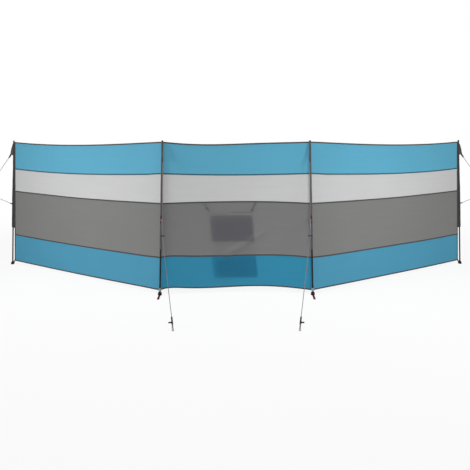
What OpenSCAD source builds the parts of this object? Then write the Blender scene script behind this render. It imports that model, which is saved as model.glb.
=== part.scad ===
// Beach windbreak: three banded cloth bays on four leaning poles. The middle bay faces forward,
// the two wings are swept back, and a Y-shaped guy line holds each pole. A hanging organiser with
// two pockets is tied to the back of the middle bay. Millimetres, +Z up, front towards -Y.
// The origin is on the ground under the left inner pole, left and right as seen from the front.

/* [Bays] */
// Distance between the feet of the two inner poles
middle_bay = 1241; // [900:1:1600]
// Distance between the feet of an inner pole and its end pole
wing_bay = 1907; // [1200:1:2400]
// Angle that each wing is swept back
wing_angle = 30; // [0:1:50]
// Gap from the ground to the bottom hem at the poles
ground_gap = 33; // [20:1:120]

/* [Bands] */
// Height of the blue band at the top
top_band = 244; // [150:1:400]
// Height of the pale band below it
pale_band = 234; // [120:1:400]
// Height of the grey band
grey_band = 428; // [250:1:600]
// Height of the blue band at the bottom
bottom_band = 251; // [150:1:400]
// Width of the tape along each hem and seam
tape_width = 11; // [6:1:25]
// Thickness of the cloth as a solid
cloth_thick = 2; // [1:0.5:4]
// Thickness of the tape as a solid
tape_thick = 3; // [2:0.5:5]

/* [Hang of the cloth] */
// Drop of a wing's top hem in the middle
wing_sag = 27; // [0:1:60]
// Drop of a wing's lower seams and bottom hem in the middle
wing_low_sag = 5; // [0:1:30]
// Drop of the middle bay's top hem in the middle
middle_sag = 17; // [0:1:60]
// How much deeper the middle bay's hems sag on the left
middle_skew = 9; // [0:1:20]
// Rise of the middle bay's bottom hem in the middle
middle_rise = 10; // [0:1:30]
// How far the middle bay bellies back
middle_belly = 62; // [0:1:120]
// How far a wing bellies back
wing_belly = 8; // [0:1:60]
// How far the middle bay's lower left is drawn up by its pole
left_lift = 17; // [0:1:30]
// How much lower the top hem is at an end pole
end_drop = 4; // [0:1:25]
// How much higher the bottom hem is at an end pole
end_lift = 6; // [0:1:25]
// How much further down the first seam is at an end pole
end_dip = 12; // [0:1:30]

/* [Poles] */
// Outer diameter of a pole
pole_d = 13; // [10:0.5:20]
// Wall of a pole's tube
pole_wall = 1; // [0.6:0.1:2]
// Lean of each pole towards its bay
pole_lean = 1; // [0:0.1:3]
// Height of the pole tip over the top hem
tip_over = 10; // [10:1:40]
// Outer diameter of the cap on a pole tip
cap_d = 16; // [14:0.5:24]
// Diameter under a foot
foot_d = 28; // [22:1:45]
// Diameter at the top of a foot
foot_neck_d = 20; // [17:0.5:30]
// Height of a foot
foot_h = 26; // [16:1:40]

/* [Sleeves] */
// Length of a pole sleeve, down from the top hem
sleeve_length = 873; // [500:1:1100]
// Outer diameter of a sleeve around its pole
sleeve_d = 17; // [16:0.5:30]
// Distance from an end pole's foot to the side edge of the cloth
edge_gap = 33; // [20:1:60]
// Distance from an end pole's tip to the side edge of the cloth
top_gap = 10; // [10:0.5:40]
// Distance from an inner pole back to the cloth
corner_gap = 14; // [12:0.5:25]
// Width of the binding down each side edge
binding_width = 14; // [10:1:30]
// Width of each half of the seam behind an inner pole
corner_seam = 8; // [5:1:15]

/* [Guy lines] */
// Cord diameter
cord_d = 3; // [2:0.5:6]
// Angle that a front guy line turns in from straight ahead
front_turn = 16; // [0:1:45]
// Distance from an inner pole out to its guy line's end
front_reach = 745; // [400:5:1500]
// Distance from an inner pole out to its junction
front_knot_out = 164; // [100:1:400]
// Height of a front junction
front_knot_z = 511; // [300:1:800]
// Distance from an end pole out to its guy line's end
end_reach = 1330; // [600:5:2000]
// Distance from an end pole out to its junction
end_knot_out = 475; // [200:1:800]
// Height of an end junction
end_knot_z = 701; // [300:1:900]
// Height of the loop halfway up a pole
mid_loop_z = 615; // [500:1:800]
// Depth of a guy patch below the top hem
patch_drop = 147; // [80:1:220]
// Reach of a guy patch out from an inner pole
patch_reach = 40; // [25:1:80]
// Reach of a guy patch out from an end pole
end_patch_reach = 47; // [30:1:90]
// Length of a webbing loop
loop_length = 24; // [16:1:40]
// Width of the webbing
webbing = 16; // [10:1:25]
// Height of the strip that makes the loop halfway up a pole
mid_loop_h = 58; // [40:1:80]
// Length of a guy runner
runner_length = 58; // [40:1:90]
// Length of the cord loop beyond the runner
end_loop = 42; // [25:1:80]
// Diameter of the knot where the cords meet
junction_d = 13; // [10:0.5:20]
// Length of the bar through that knot
junction_bar = 36; // [20:1:50]

/* [Feet] */
// Length of a peg loop on the ground
peg_loop_length = 92; // [50:1:140]
// Width of a peg loop outside
peg_loop_width = 14; // [10:1:40]
// Angle that an end pole's peg loop turns outwards from straight back
peg_loop_turn = 26; // [0:1:60]
// Thickness of the strap webbing
strap_thick = 2.5; // [1.5:0.5:4]
// Width of the strap from a foot up to the cloth
foot_strap_w = 10; // [8:1:14]

/* [Organiser] */
// Width of the organiser
organiser_w = 352; // [250:1:600]
// Height of the organiser
organiser_h = 545; // [350:1:700]
// Distance from the left inner pole to the organiser's middle
organiser_x = 575; // [400:1:900]
// Distance from the pale band's lower tape down to the organiser
organiser_drop = 82; // [40:1:120]
// Sideways slant of the organiser as it hangs
organiser_slant = 5; // [0:0.5:8]
// Height of the upper pocket
upper_pocket_h = 206; // [120:1:300]
// Height of the lower pocket
lower_pocket_h = 178; // [120:1:250]
// Room inside a pocket, front to back
pocket_depth = 22; // [12:1:60]
// Height of the hem over the upper pocket
organiser_hem = 42; // [20:1:60]
// Width of a hanging strap
hanger_w = 16; // [8:1:30]

/* [Hidden] */
$fn = 48;
cloth_height = top_band + pale_band + grey_band + bottom_band + 5 * tape_width;
hem_top = ground_gap + cloth_height;
pole_length = hem_top + tip_over;
seam_1 = top_band + 1.5 * tape_width;
seam_2 = seam_1 + pale_band + tape_width;
seam_3 = seam_2 + grey_band + tape_width;
SEAMS = [tape_width / 2, seam_1, seam_2, seam_3, cloth_height - tape_width / 2];
wing_run = wing_bay * cos(wing_angle);
set_back = wing_bay * sin(wing_angle);
blue = [0.33, 0.64, 0.78];
pale = [0.79, 0.79, 0.79];
grey = [0.47, 0.47, 0.46];
dark = [0.28, 0.28, 0.29];
black = [0.09, 0.09, 0.1];
red = [0.42, 0.1, 0.13];
cord_colour = [0.78, 0.76, 0.77];
seat = 0.3;
// The sleeve always leaves room for its pole, and the cloth's top corner for the sleeve
sleeve_od = max(sleeve_d, pole_d + 4);
corner_out = max(top_gap, sleeve_od / 2 + 1.5);

// Poles, left to right: where each foot stands, which way it leans and which way its guy line runs
FEET = [
    [-wing_run, set_back, 0],
    [0, 0, 0],
    [middle_bay, 0, 0],
    [middle_bay + wing_run, set_back, 0]
];
LEANS = [
    [cos(wing_angle), -sin(wing_angle), 0],
    [1, 0, 0],
    [-1, 0, 0],
    [-cos(wing_angle), -sin(wing_angle), 0]
];
GUYS = [
    [-cos(wing_angle), sin(wing_angle), 0],
    [sin(front_turn), -cos(front_turn), 0],
    [-sin(front_turn), -cos(front_turn), 0],
    [cos(wing_angle), sin(wing_angle), 0]
];
// Bays, left to right: the way along and the way to the back
ALONG = [LEANS[0], [1, 0, 0], [cos(wing_angle), sin(wing_angle), 0]];
BACK = [[sin(wing_angle), cos(wing_angle), 0], [0, 1, 0], [-sin(wing_angle), cos(wing_angle), 0]];
UP = [0, 0, 1];

function unit(v) = v / norm(v);
function heading(v) = atan2(v[1], v[0]);
function at_end(i) = i == 0 || i == 3;
function axis(i, s) = FEET[i] + (LEANS[i] * sin(pole_lean) + UP * cos(pole_lean)) * s;
// The line that the cloth is sewn to at each pole
function edge_out(s) = edge_gap + (corner_out - edge_gap) * s / hem_top;
function edge_at(i, s) = axis(i, s) + (at_end(i) ? LEANS[i] * edge_out(s) : [0, corner_gap, 0]);
// How far up pole i a height v of the cloth is, from 0 at the bottom hem to 1 at the top hem
function sewn_at(i, v) = ground_gap + cloth_height * v
    + (at_end(i) ? end_lift * (1 - v) - end_drop * v : 0);
function bay_length(b) = norm(edge_at(b + 1, 0) - edge_at(b, 0));
function ease(t) = t <= 0 ? 0 : t >= 1 ? 1 : t * t * (3 - 2 * t);
function arch(u) = 4 * u * (1 - u);
function sag(b, v) = b == 1
    ? (middle_sag + middle_rise) * ease((v - 0.55) / 0.3) - middle_rise
    : wing_low_sag + (wing_sag - wing_low_sag) * ease((v - 0.5) / 0.3);
// Along a wing, from 0 at its inner pole to 1 at its end pole
function outward(b, u) = b == 0 ? 1 - u : u;
// How far the cloth falls below the straight line between its poles
function fall(b, u, v) = b == 1
    ? sag(b, v) * arch(u) + middle_skew * sin(360 * u) * (1 - 0.6 * u)
        * (ease((v - 0.8) / 0.2) + ease((0.45 - v) / 0.2))
        - left_lift * u / 0.08 * exp(1 - u / 0.08) * ease(1 - v / 0.62)
    : sag(b, v) * arch(pow(outward(b, u), 1.2))
        + end_dip * pow(outward(b, u), 2) * ease(1 - abs(v - 0.775) / 0.22);
// The middle bay bellies a little more on the right
function bulge(b, u) = arch(u) - (b == 1 ? 0.2 * sin(360 * u) : 0);
function belly(b, v) = b == 1 ? middle_belly * (1 - 0.45 * v * v) : wing_belly * v;
// A point in the middle of bay b's cloth: u runs along the bay, drop is measured down from the top hem
function cloth(b, u, drop) =
    let (v = 1 - drop / cloth_height)
    edge_at(b, sewn_at(b, v)) * (1 - u) + edge_at(b + 1, sewn_at(b + 1, v)) * u
    - UP * fall(b, u, v) + BACK[b] * belly(b, v) * bulge(b, u);
// How much of each end of a bay the bindings and corner seams take
function start_u(b) = (b == 0 ? binding_width : corner_seam) / bay_length(b);
function stop_u(b) = 1 - (b == 2 ? binding_width : corner_seam) / bay_length(b);

function knot(i) = FEET[i] + GUYS[i] * (at_end(i) ? end_knot_out : front_knot_out)
    + UP * (at_end(i) ? end_knot_z : front_knot_z);
function ground_end(i) = FEET[i] + GUYS[i] * (at_end(i) ? end_reach : front_reach) + UP * cord_d;
function patch_out(i) = at_end(i) ? end_patch_reach : patch_reach;
function patch_tip(i) = axis(i, hem_top - patch_drop) + GUYS[i] * patch_out(i);
// The knots that tie a guy line to its two loops
function top_anchor(i) = patch_tip(i)
    + unit(knot(i) - patch_tip(i)) * (loop_length + 1.5 * cord_d + 2 * seat);
function mid_anchor(i) = axis(i, mid_loop_z)
    + GUYS[i] * (sleeve_od / 2 + loop_length + 1.5 * cord_d + 2 * seat);
function main_way(i) = unit(ground_end(i) - knot(i));
function runner_at(i) = ground_end(i) - main_way(i) * (end_loop + runner_length / 2);
// The side that a runner's tip points to: away from the middle of the windbreak
function side_way(i) = unit(cross(main_way(i), UP)) * (i < 2 ? 1 : -1);

module on_pole(i) {
    translate(FEET[i])
        rotate(a = pole_lean, v = cross(UP, LEANS[i]))
            children();
}

// Stands children in a frame with x along a, z along n
module in_frame(p, a, n) {
    b = cross(n, a);
    multmatrix([
        [a[0], b[0], n[0], p[0]],
        [a[1], b[1], n[1], p[1]],
        [a[2], b[2], n[2], p[2]],
        [0, 0, 0, 1]
    ])
        children();
}

module rod(p, q, d) {
    way = q - p;
    translate(p)
        rotate([0, acos(way[2] / norm(way)), heading(way)])
            cylinder(d = d, h = norm(way));
}

// A slab of cloth of bay b between two drops and two places along the bay
module sheet(b, drop_0, drop_1, u_0, u_1, thick, cells_u, cells_v) {
    nu = cells_u + 1;
    nv = cells_v + 1;
    count = nu * nv;
    mid = [
        for (j = [0 : cells_v], i = [0 : cells_u])
            cloth(b, u_0 + (u_1 - u_0) * i / cells_u, drop_0 + (drop_1 - drop_0) * j / cells_v)
    ];
    points = concat(
        [for (p = mid) p - BACK[b] * thick / 2],
        [for (p = mid) p + BACK[b] * thick / 2]
    );
    front = [
        for (j = [0 : cells_v - 1], i = [0 : cells_u - 1], k = [0, 1])
            let (a = j * nu + i)
            k == 0 ? [a, a + 1, a + nu] : [a + 1, a + nu + 1, a + nu]
    ];
    back = [for (f = front) [f[0] + count, f[2] + count, f[1] + count]];
    rim = concat(
        [for (i = [0 : cells_u - 1]) i],
        [for (j = [0 : cells_v - 1]) j * nu + cells_u],
        [for (i = [0 : cells_u - 1]) count - 1 - i],
        [for (j = [0 : cells_v - 1]) (cells_v - j) * nu]
    );
    wall = [
        for (k = [0 : len(rim) - 1], h = [0, 1])
            let (a = rim[k], c = rim[(k + 1) % len(rim)])
            h == 0 ? [a, a + count, c] : [c, a + count, c + count]
    ];
    polyhedron(points = points, faces = concat(front, back, wall));
}

module band(b, seam, cells_v) {
    sheet(b, SEAMS[seam] + tape_width / 2, SEAMS[seam + 1] - tape_width / 2,
        start_u(b), stop_u(b), cloth_thick, 16, cells_v);
}

module bay_tapes(b) {
    for (d = SEAMS)
        sheet(b, d - tape_width / 2, d + tape_width / 2, start_u(b), stop_u(b), tape_thick, 16, 1);
}

// A slot-shaped ring from x = 0 to x = l, w wide outside
module slot_ring(l, w, wall) {
    difference() {
        union() {
            translate([w / 2, 0])
                circle(d = w);
            translate([w / 2, -w / 2])
                square([l - w, w]);
            translate([l - w / 2, 0])
                circle(d = w);
        }
        translate([w / 2, 0])
            circle(d = w - 2 * wall);
        translate([w / 2, -w / 2 + wall])
            square([l - w, w - 2 * wall]);
        translate([l - w / 2, 0])
            circle(d = w - 2 * wall);
    }
}

module pole(i) {
    on_pole(i)
        translate([0, 0, 6])
            difference() {
                cylinder(d = pole_d, h = pole_length - 8);
                translate([0, 0, -1])
                    cylinder(d = pole_d - 2 * pole_wall, h = pole_length);
            }
}

// A sleeve is round over its pole, with a flat tail to the cloth
module sleeve(i) {
    low = hem_top - sleeve_length;
    high = sewn_at(i, 1);
    root = pole_d / 2 + 1;
    half = sqrt(sleeve_od * sleeve_od / 4 - root * root) - 0.2;
    wide = at_end(i) ? edge_out(low) : corner_gap - tape_thick / 2 - seat;
    slant = at_end(i) ? atan((wide - edge_out(high)) / (high - low)) : 0;
    on_pole(i)
        rotate([0, 0, at_end(i) ? heading(LEANS[i]) : 90])
            translate([0, 0, low]) {
                difference() {
                    cylinder(d = sleeve_od, h = high - low);
                    translate([0, 0, -1])
                        cylinder(d = pole_d + 2 * seat, h = high - low + 2);
                }
                difference() {
                    linear_extrude(high - low)
                        polygon([
                            [root, half],
                            [wide, tape_thick / 2],
                            [wide, -tape_thick / 2],
                            [root, -half]
                        ]);
                    if (slant > 0)
                        translate([wide, 0, 0])
                            rotate([0, -slant, 0])
                                translate([0, -half - 1, -wide])
                                    cube([2 * wide, 2 * half + 2, high - low + 2 * wide]);
                }
            }
}

module foot(i) {
    difference() {
        on_pole(i)
            difference() {
                translate([0, 0, -2])
                    cylinder(d1 = foot_d, d2 = foot_neck_d, h = foot_h + 2);
                translate([0, 0, 6])
                    cylinder(d = pole_d + 2 * seat / 3, h = foot_h);
            }
        translate(FEET[i] - [foot_d, foot_d, 50])
            cube([2 * foot_d, 2 * foot_d, 50]);
    }
}

module pole_caps() {
    color(black)
        for (i = [0 : 3])
            on_pole(i)
                translate([0, 0, hem_top + 1])
                    rotate_extrude()
                        polygon([
                            [pole_d / 2 + seat / 3, 0],
                            [cap_d / 2, 0],
                            [cap_d / 2, tip_over - 5],
                            [cap_d / 2 - 3, tip_over - 1],
                            [0, tip_over - 1],
                            [0, tip_over - 3],
                            [pole_d / 2 + seat / 3, tip_over - 3]
                        ]);
}

module edge_bindings() {
    color(dark) {
        sheet(0, 0, cloth_height, 0, start_u(0), tape_thick, 1, 16);
        sheet(2, 0, cloth_height, stop_u(2), 1, tape_thick, 1, 16);
    }
}

module corner_seams() {
    color(dark)
        for (i = [1, 2])
            on_pole(i)
                translate([0, corner_gap, ground_gap])
                    linear_extrude(cloth_height) {
                        circle(d = tape_thick);
                        for (way = [-ALONG[i - 1], ALONG[i]])
                            rotate([0, 0, heading(way)])
                                translate([0, -tape_thick / 2])
                                    square([corner_seam, tape_thick]);
                    }
}

// A webbing collar around each foot, with a strap up to the corner of the cloth
module foot_straps() {
    color(black)
        for (i = [0 : 3]) {
            on_pole(i)
                translate([0, 0, 8])
                    difference() {
                        cylinder(d = foot_d + 4, h = 14);
                        translate([0, 0, -10])
                            cylinder(d1 = foot_d, d2 = foot_neck_d, h = foot_h + 2);
                    }
            // Inside the corner an inner strap rests on the seam's two legs
            behind = at_end(i) ? -BACK[i == 0 ? 0 : 2] : BACK[1];
            lift = tape_thick / 2 + strap_thick / 2
                + (at_end(i) ? 0 : tape_thick / 4 + foot_strap_w / 2 * tan(wing_angle));
            collar = foot_d / 2 + 0.5;
            low = axis(i, 14) + (at_end(i) ? LEANS[i] * collar + behind * lift
                : behind * (collar + strap_thick / 2));
            high = edge_at(i, sewn_at(i, 0) + tape_width) + behind * lift
                + (at_end(i) ? LEANS[i] * 6 : [0, 0, 0]);
            across = unit(cross(high - low, behind));
            in_frame(low, unit(high - low), unit(cross(unit(high - low), across)))
                translate([0, -foot_strap_w / 2, -strap_thick / 2])
                    cube([norm(high - low) + 4, foot_strap_w, strap_thick]);
        }
}

module peg_loops() {
    color(red)
        for (i = [0 : 3])
            translate(FEET[i])
                rotate([0, 0, i == 0 ? 90 + peg_loop_turn : i == 3 ? 90 - peg_loop_turn : -90])
                    translate([foot_d / 2 + 2 + seat, 0, 0])
                        linear_extrude(webbing)
                            slot_ring(peg_loop_length, peg_loop_width, strap_thick);
}

module guy_patches() {
    r = sleeve_od / 2 + seat;
    low = hem_top - patch_drop;
    color(dark)
        for (i = [0 : 3])
            let (reach = patch_out(i))
            on_pole(i)
                rotate([0, 0, heading(GUYS[i])])
                    rotate([90, 0, 0])
                        linear_extrude(tape_thick, center = true)
                            polygon([
                                [r, sewn_at(i, 1) - 4],
                                [r, low + 2],
                                [r + 7, low + 10],
                                [reach - 9, low + 7],
                                [reach, low],
                                [reach + 1, low + 8],
                                [r + (reach - r) * 0.82, low + 32],
                                [r + (reach - r) * 0.6, low + 75]
                            ]);
}

module patch_loops() {
    color(red)
        for (i = [0 : 3]) {
            way = unit(knot(i) - patch_tip(i));
            in_frame(patch_tip(i) + way * seat, way, unit(cross(GUYS[i], UP)))
                linear_extrude(webbing, center = true)
                    slot_ring(loop_length, 10, strap_thick);
        }
}

// An upright strip sewn to the sleeve at both ends and pulled out in its middle
module mid_loops() {
    h = mid_loop_h / 2;
    l = loop_length;
    color(red)
        for (i = [0 : 3])
            in_frame(axis(i, mid_loop_z) + GUYS[i] * (sleeve_od / 2 + seat), GUYS[i],
                unit(cross(GUYS[i], UP)))
                linear_extrude(webbing, center = true)
                    polygon([
                        [0, h],
                        [l, 5],
                        [l, -5],
                        [0, -h],
                        [0, 3.5 - h],
                        [l - strap_thick, -4],
                        [l - strap_thick, 4],
                        [0, h - 3.5]
                    ]);
}

// The Y of cords on one pole, the knots at its loops and the loop at its ground end
module guy_line(i) {
    way = main_way(i);
    side = side_way(i);
    start = runner_at(i) + way * (runner_length / 2 + seat);
    color(cord_colour) {
        for (anchor = [top_anchor(i), mid_anchor(i)]) {
            rod(anchor, knot(i) + unit(anchor - knot(i)) * (junction_d / 2 + seat), cord_d);
            translate(anchor)
                sphere(d = 3 * cord_d);
        }
        rod(knot(i) + way * (junction_d / 2 + seat), runner_at(i) - way * (runner_length / 2 + seat),
            cord_d);
        in_frame(start, way, cross(way, side))
            linear_extrude(cord_d, center = true)
                slot_ring(end_loop, 4 * cord_d, cord_d);
    }
}

// A narrow plate with an arm near its lower end, and a hole at each of its three ends
module three_hole(l, tip, hole) {
    arm = l / 5;
    difference() {
        polygon([
            [-l / 2, -3],
            [-l / 2 + 3, -4.5],
            [l / 2 - 3, -4.5],
            [l / 2, -3],
            [l / 2, 3],
            [l / 2 - 3, 4.5],
            [arm + 9, 4.5],
            [arm + 5, 9],
            [arm + 4, tip],
            [arm - 4, tip],
            [arm - 5, 9],
            [arm - 9, 4.5],
            [-l / 2 + 3, 4.5],
            [-l / 2, 3]
        ]);
        for (c = [[-l / 2 + 7, 0], [l / 2 - 7, 0], [arm, tip - 5]])
            translate(c)
                circle(d = hole);
    }
}

// A round boss where the three cords meet, with a flat bar through it
module guy_junctions() {
    color(black)
        for (i = [0 : 3])
            in_frame(knot(i), side_way(i), unit(cross(side_way(i), main_way(i)))) {
                rotate([0, 90, 0])
                    cylinder(d = junction_d, h = 8, center = true);
                translate([-junction_bar / 2, -2.5, -2])
                    cube([junction_bar, 5, 4]);
            }
}

module guy_runners() {
    color(black)
        for (i = [0 : 3])
            in_frame(runner_at(i), main_way(i), cross(main_way(i), side_way(i)))
                translate([0, 0, -2.5])
                    linear_extrude(5)
                        three_hole(runner_length, 26, cord_d);
}

// Where the organiser's top edge is: a point behind the middle bay's cloth
function organiser_top() = [
    organiser_x,
    corner_gap + 1.08 * middle_belly + cloth_thick + 3,
    cloth(1, organiser_x / middle_bay, seam_2 + organiser_drop)[2]
];

// An upright slab of the organiser from one height to another, slanting sideways as it hangs
module hung_slab(z_low, z_high, y, thick, inset) {
    half = organiser_w / 2 - inset;
    lean = tan(organiser_slant);
    translate(organiser_top() + [0, y + thick, 0])
        rotate([90, 0, 0])
            linear_extrude(thick)
                polygon([
                    [-half - z_low * lean, z_low],
                    [half - z_low * lean, z_low],
                    [half - z_high * lean, z_high],
                    [-half - z_high * lean, z_high]
                ]);
}

module organiser_back() {
    color([0.62, 0.62, 0.62])
        hung_slab(-organiser_h, 0, 0, cloth_thick, 0);
}

module organiser_top_hem() {
    color(dark)
        hung_slab(-organiser_hem, 0, cloth_thick, cloth_thick, 0);
}

// A pocket: an outer wall, two side walls and a bottom, open at the top and closed by the back sheet
module pocket(z_low, z_high) {
    color(dark)
        difference() {
            hung_slab(z_low, z_high, cloth_thick, pocket_depth + cloth_thick, 0);
            hung_slab(z_low + cloth_thick, z_high + 1, cloth_thick - 1, pocket_depth + 1, cloth_thick);
        }
}

module upper_pocket() {
    pocket(-organiser_hem - upper_pocket_h, -organiser_hem);
}

module lower_pocket() {
    pocket(-organiser_h, lower_pocket_h - organiser_h);
}

// Two straps that tie the organiser's top corners to the tape above it
module organiser_straps() {
    color(dark)
        for (h = [-1, 1]) {
            x = organiser_x + h * (organiser_w / 2 + 36);
            high = cloth(1, x / middle_bay, seam_2) + [0, (tape_thick + strap_thick) / 2 + 0.8, 0];
            foot = organiser_top() + [h * (organiser_w / 2 - 14), cloth_thick / 2, 0];
            way = unit(high - foot);
            low = foot + way * (hanger_w / 2 * abs(way[0]) / way[2] + 0.8);
            in_frame(low, way, unit(cross(cross(way, [0, 1, 0]), way)))
                translate([0, -hanger_w / 2, -strap_thick / 2])
                    cube([norm(high - low), hanger_w, strap_thick]);
        }
}

module left_top_band() { color(blue) band(0, 0, 4); }
module left_pale_band() { color(pale) band(0, 1, 4); }
module left_grey_band() { color(grey) band(0, 2, 3); }
module left_bottom_band() { color(blue) band(0, 3, 2); }
module middle_top_band() { color(blue) band(1, 0, 4); }
module middle_pale_band() { color(pale) band(1, 1, 4); }
module middle_grey_band() { color(grey) band(1, 2, 3); }
module middle_bottom_band() { color(blue) band(1, 3, 2); }
module right_top_band() { color(blue) band(2, 0, 4); }
module right_pale_band() { color(pale) band(2, 1, 4); }
module right_grey_band() { color(grey) band(2, 2, 3); }
module right_bottom_band() { color(blue) band(2, 3, 2); }
module left_bay_tapes() { color(dark) bay_tapes(0); }
module middle_bay_tapes() { color(dark) bay_tapes(1); }
module right_bay_tapes() { color(dark) bay_tapes(2); }
module left_end_pole() { color(dark) pole(0); }
module left_inner_pole() { color(dark) pole(1); }
module right_inner_pole() { color(dark) pole(2); }
module right_end_pole() { color(dark) pole(3); }
module left_end_sleeve() { color(dark) sleeve(0); }
module left_inner_sleeve() { color(dark) sleeve(1); }
module right_inner_sleeve() { color(dark) sleeve(2); }
module right_end_sleeve() { color(dark) sleeve(3); }
module left_end_foot() { color(black) foot(0); }
module left_inner_foot() { color(black) foot(1); }
module right_inner_foot() { color(black) foot(2); }
module right_end_foot() { color(black) foot(3); }
module left_end_guy() { guy_line(0); }
module left_front_guy() { guy_line(1); }
module right_front_guy() { guy_line(2); }
module right_end_guy() { guy_line(3); }

left_top_band();
left_pale_band();
left_grey_band();
left_bottom_band();
middle_top_band();
middle_pale_band();
middle_grey_band();
middle_bottom_band();
right_top_band();
right_pale_band();
right_grey_band();
right_bottom_band();
left_bay_tapes();
middle_bay_tapes();
right_bay_tapes();
edge_bindings();
corner_seams();
left_end_sleeve();
left_inner_sleeve();
right_inner_sleeve();
right_end_sleeve();
left_end_pole();
left_inner_pole();
right_inner_pole();
right_end_pole();
pole_caps();
left_end_foot();
left_inner_foot();
right_inner_foot();
right_end_foot();
foot_straps();
peg_loops();
guy_patches();
patch_loops();
mid_loops();
left_end_guy();
left_front_guy();
right_front_guy();
right_end_guy();
guy_junctions();
guy_runners();
organiser_back();
organiser_top_hem();
upper_pocket();
lower_pocket();
organiser_straps();
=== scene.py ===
# %% [markdown]
# # A beach windbreak, from bare frame to sewn cloth
#
# A beach windbreak is a low cloth wall: three bays of banded polyester on four thin poles, with the two
# wings swept back and a guy line on every pole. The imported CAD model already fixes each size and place.
# This lesson dresses it, one piece or one finish at a time, and says why each is made the way it is.

# %% Load the frame
import math

import bmesh
import bpy
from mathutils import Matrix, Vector


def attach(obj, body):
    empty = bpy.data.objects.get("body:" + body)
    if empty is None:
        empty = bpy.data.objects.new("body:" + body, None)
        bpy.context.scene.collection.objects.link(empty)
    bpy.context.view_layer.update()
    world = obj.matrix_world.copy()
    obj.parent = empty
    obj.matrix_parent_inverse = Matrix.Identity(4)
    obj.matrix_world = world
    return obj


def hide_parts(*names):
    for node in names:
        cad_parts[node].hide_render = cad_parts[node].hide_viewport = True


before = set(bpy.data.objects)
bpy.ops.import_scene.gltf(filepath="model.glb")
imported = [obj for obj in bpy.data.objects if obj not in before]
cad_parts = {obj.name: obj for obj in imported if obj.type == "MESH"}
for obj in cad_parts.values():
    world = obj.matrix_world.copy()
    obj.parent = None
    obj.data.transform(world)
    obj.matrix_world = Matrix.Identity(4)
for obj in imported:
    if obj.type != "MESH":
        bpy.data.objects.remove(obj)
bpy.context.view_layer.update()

# %% [markdown]
# ## Where the poles stand
#
# Every piece is placed from the poles, so they come first. The origin is under the left inner pole, +X runs
# along the middle bay and +Y to the back. The values repeat the CAD source in metres, because a script that
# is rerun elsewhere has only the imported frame. Functions are used instead of fixed points, so that cloth,
# tapes and stitches can all ask for the same place.

# %% Poles, bays and their directions
MIDDLE_BAY, WING_BAY = 1.241, 1.907
WING_ANGLE, POLE_LEAN = math.radians(30), math.radians(1)
GROUND_GAP, CLOTH_HEIGHT, POLE_LENGTH = 0.033, 1.212, 1.255
HEM_TOP = GROUND_GAP + CLOTH_HEIGHT
EDGE_GAP, TOP_GAP, CORNER_GAP = 0.033, 0.010, 0.014
END_DROP, END_LIFT = 0.004, 0.006
UP = Vector((0, 0, 1))
SIN, COS = math.sin(WING_ANGLE), math.cos(WING_ANGLE)

POLES = ("left_end", "left_inner", "right_inner", "right_end")
BAYS = ("left", "middle", "right")
FEET = (
    Vector((-WING_BAY * COS, WING_BAY * SIN, 0)),
    Vector((0, 0, 0)),
    Vector((MIDDLE_BAY, 0, 0)),
    Vector((MIDDLE_BAY + WING_BAY * COS, WING_BAY * SIN, 0)),
)
LEANS = (Vector((COS, -SIN, 0)), Vector((1, 0, 0)), Vector((-1, 0, 0)), Vector((-COS, -SIN, 0)))
BACK = (Vector((SIN, COS, 0)), Vector((0, 1, 0)), Vector((-SIN, COS, 0)))


def is_end(i):
    return i in (0, 3)


def pole_way(i):
    return LEANS[i] * math.sin(POLE_LEAN) + UP * math.cos(POLE_LEAN)


def on_pole(i, s):
    return FEET[i] + pole_way(i) * s


def edge_out(s):
    """How far the outer edge of the cloth stands off an end pole: less towards the tip."""
    return EDGE_GAP + (TOP_GAP - EDGE_GAP) * s / HEM_TOP


def sewn_edge(i, s):
    return on_pole(i, s) + (LEANS[i] * edge_out(s) if is_end(i) else Vector((0, CORNER_GAP, 0)))


def sewn_at(i, v):
    """How high on a pole the side of the cloth is, for v from 0 at its bottom to 1 at its top."""
    return GROUND_GAP + CLOTH_HEIGHT * v + (END_LIFT * (1 - v) - END_DROP * v if is_end(i) else 0)


print("feet:", [tuple(round(x, 3) for x in f) for f in FEET])

# %% [markdown]
# ## The camera
#
# The pole tips all lie on the horizon of the picture, so the camera stands level at their height. It looks
# straight at the middle bay, and a lens shift, as on a view camera, frames the object without tilting it.
# Tilting instead would make the upright poles lean together.

# %% Camera
def add_object(name, data):
    thing = bpy.data.objects.new(name, data)
    bpy.context.scene.collection.objects.link(thing)
    return thing


camera_data = bpy.data.cameras.new("studio_camera")
camera_data.sensor_width, camera_data.lens = 36, 35.6
camera_data.shift_x, camera_data.shift_y = -0.00245, -0.2015
camera = add_object("studio_camera", camera_data)
camera.location = (MIDDLE_BAY / 2, -3.77, 1.255)
camera.rotation_euler = (math.pi / 2, 0.0012, 0)
bpy.context.scene.camera = camera
bpy.context.scene.view_settings.view_transform = "Standard"

# %% [markdown]
# ## Studio light on a white floor
#
# Thin cloth looks right only when light also comes from behind it. A broad lamp overhead gives the even light,
# two narrow ones in front lift the wings, which are brighter than the middle bay in the picture, one lamp
# behind shines through the cloth, and a pale sky fills the rest. The floor and the sky show plain white to
# the camera, and close to the object the floor keeps part of its own shading, so the shadow stays.

# %% Sky, lamps and floor
def level_lamp(name, place, aim, size, power, spread=180):
    lamp = bpy.data.lights.new(name, "AREA")
    lamp.shape, lamp.size, lamp.size_y, lamp.energy = "RECTANGLE", size[0], size[1], power
    lamp.spread = math.radians(spread)
    holder = bpy.data.objects.new(name, lamp)
    holder.location = place
    holder.rotation_euler = (Vector(aim) - Vector(place)).to_track_quat("-Z", "Y").to_euler()
    bpy.context.scene.collection.objects.link(holder)
    return holder


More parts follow.
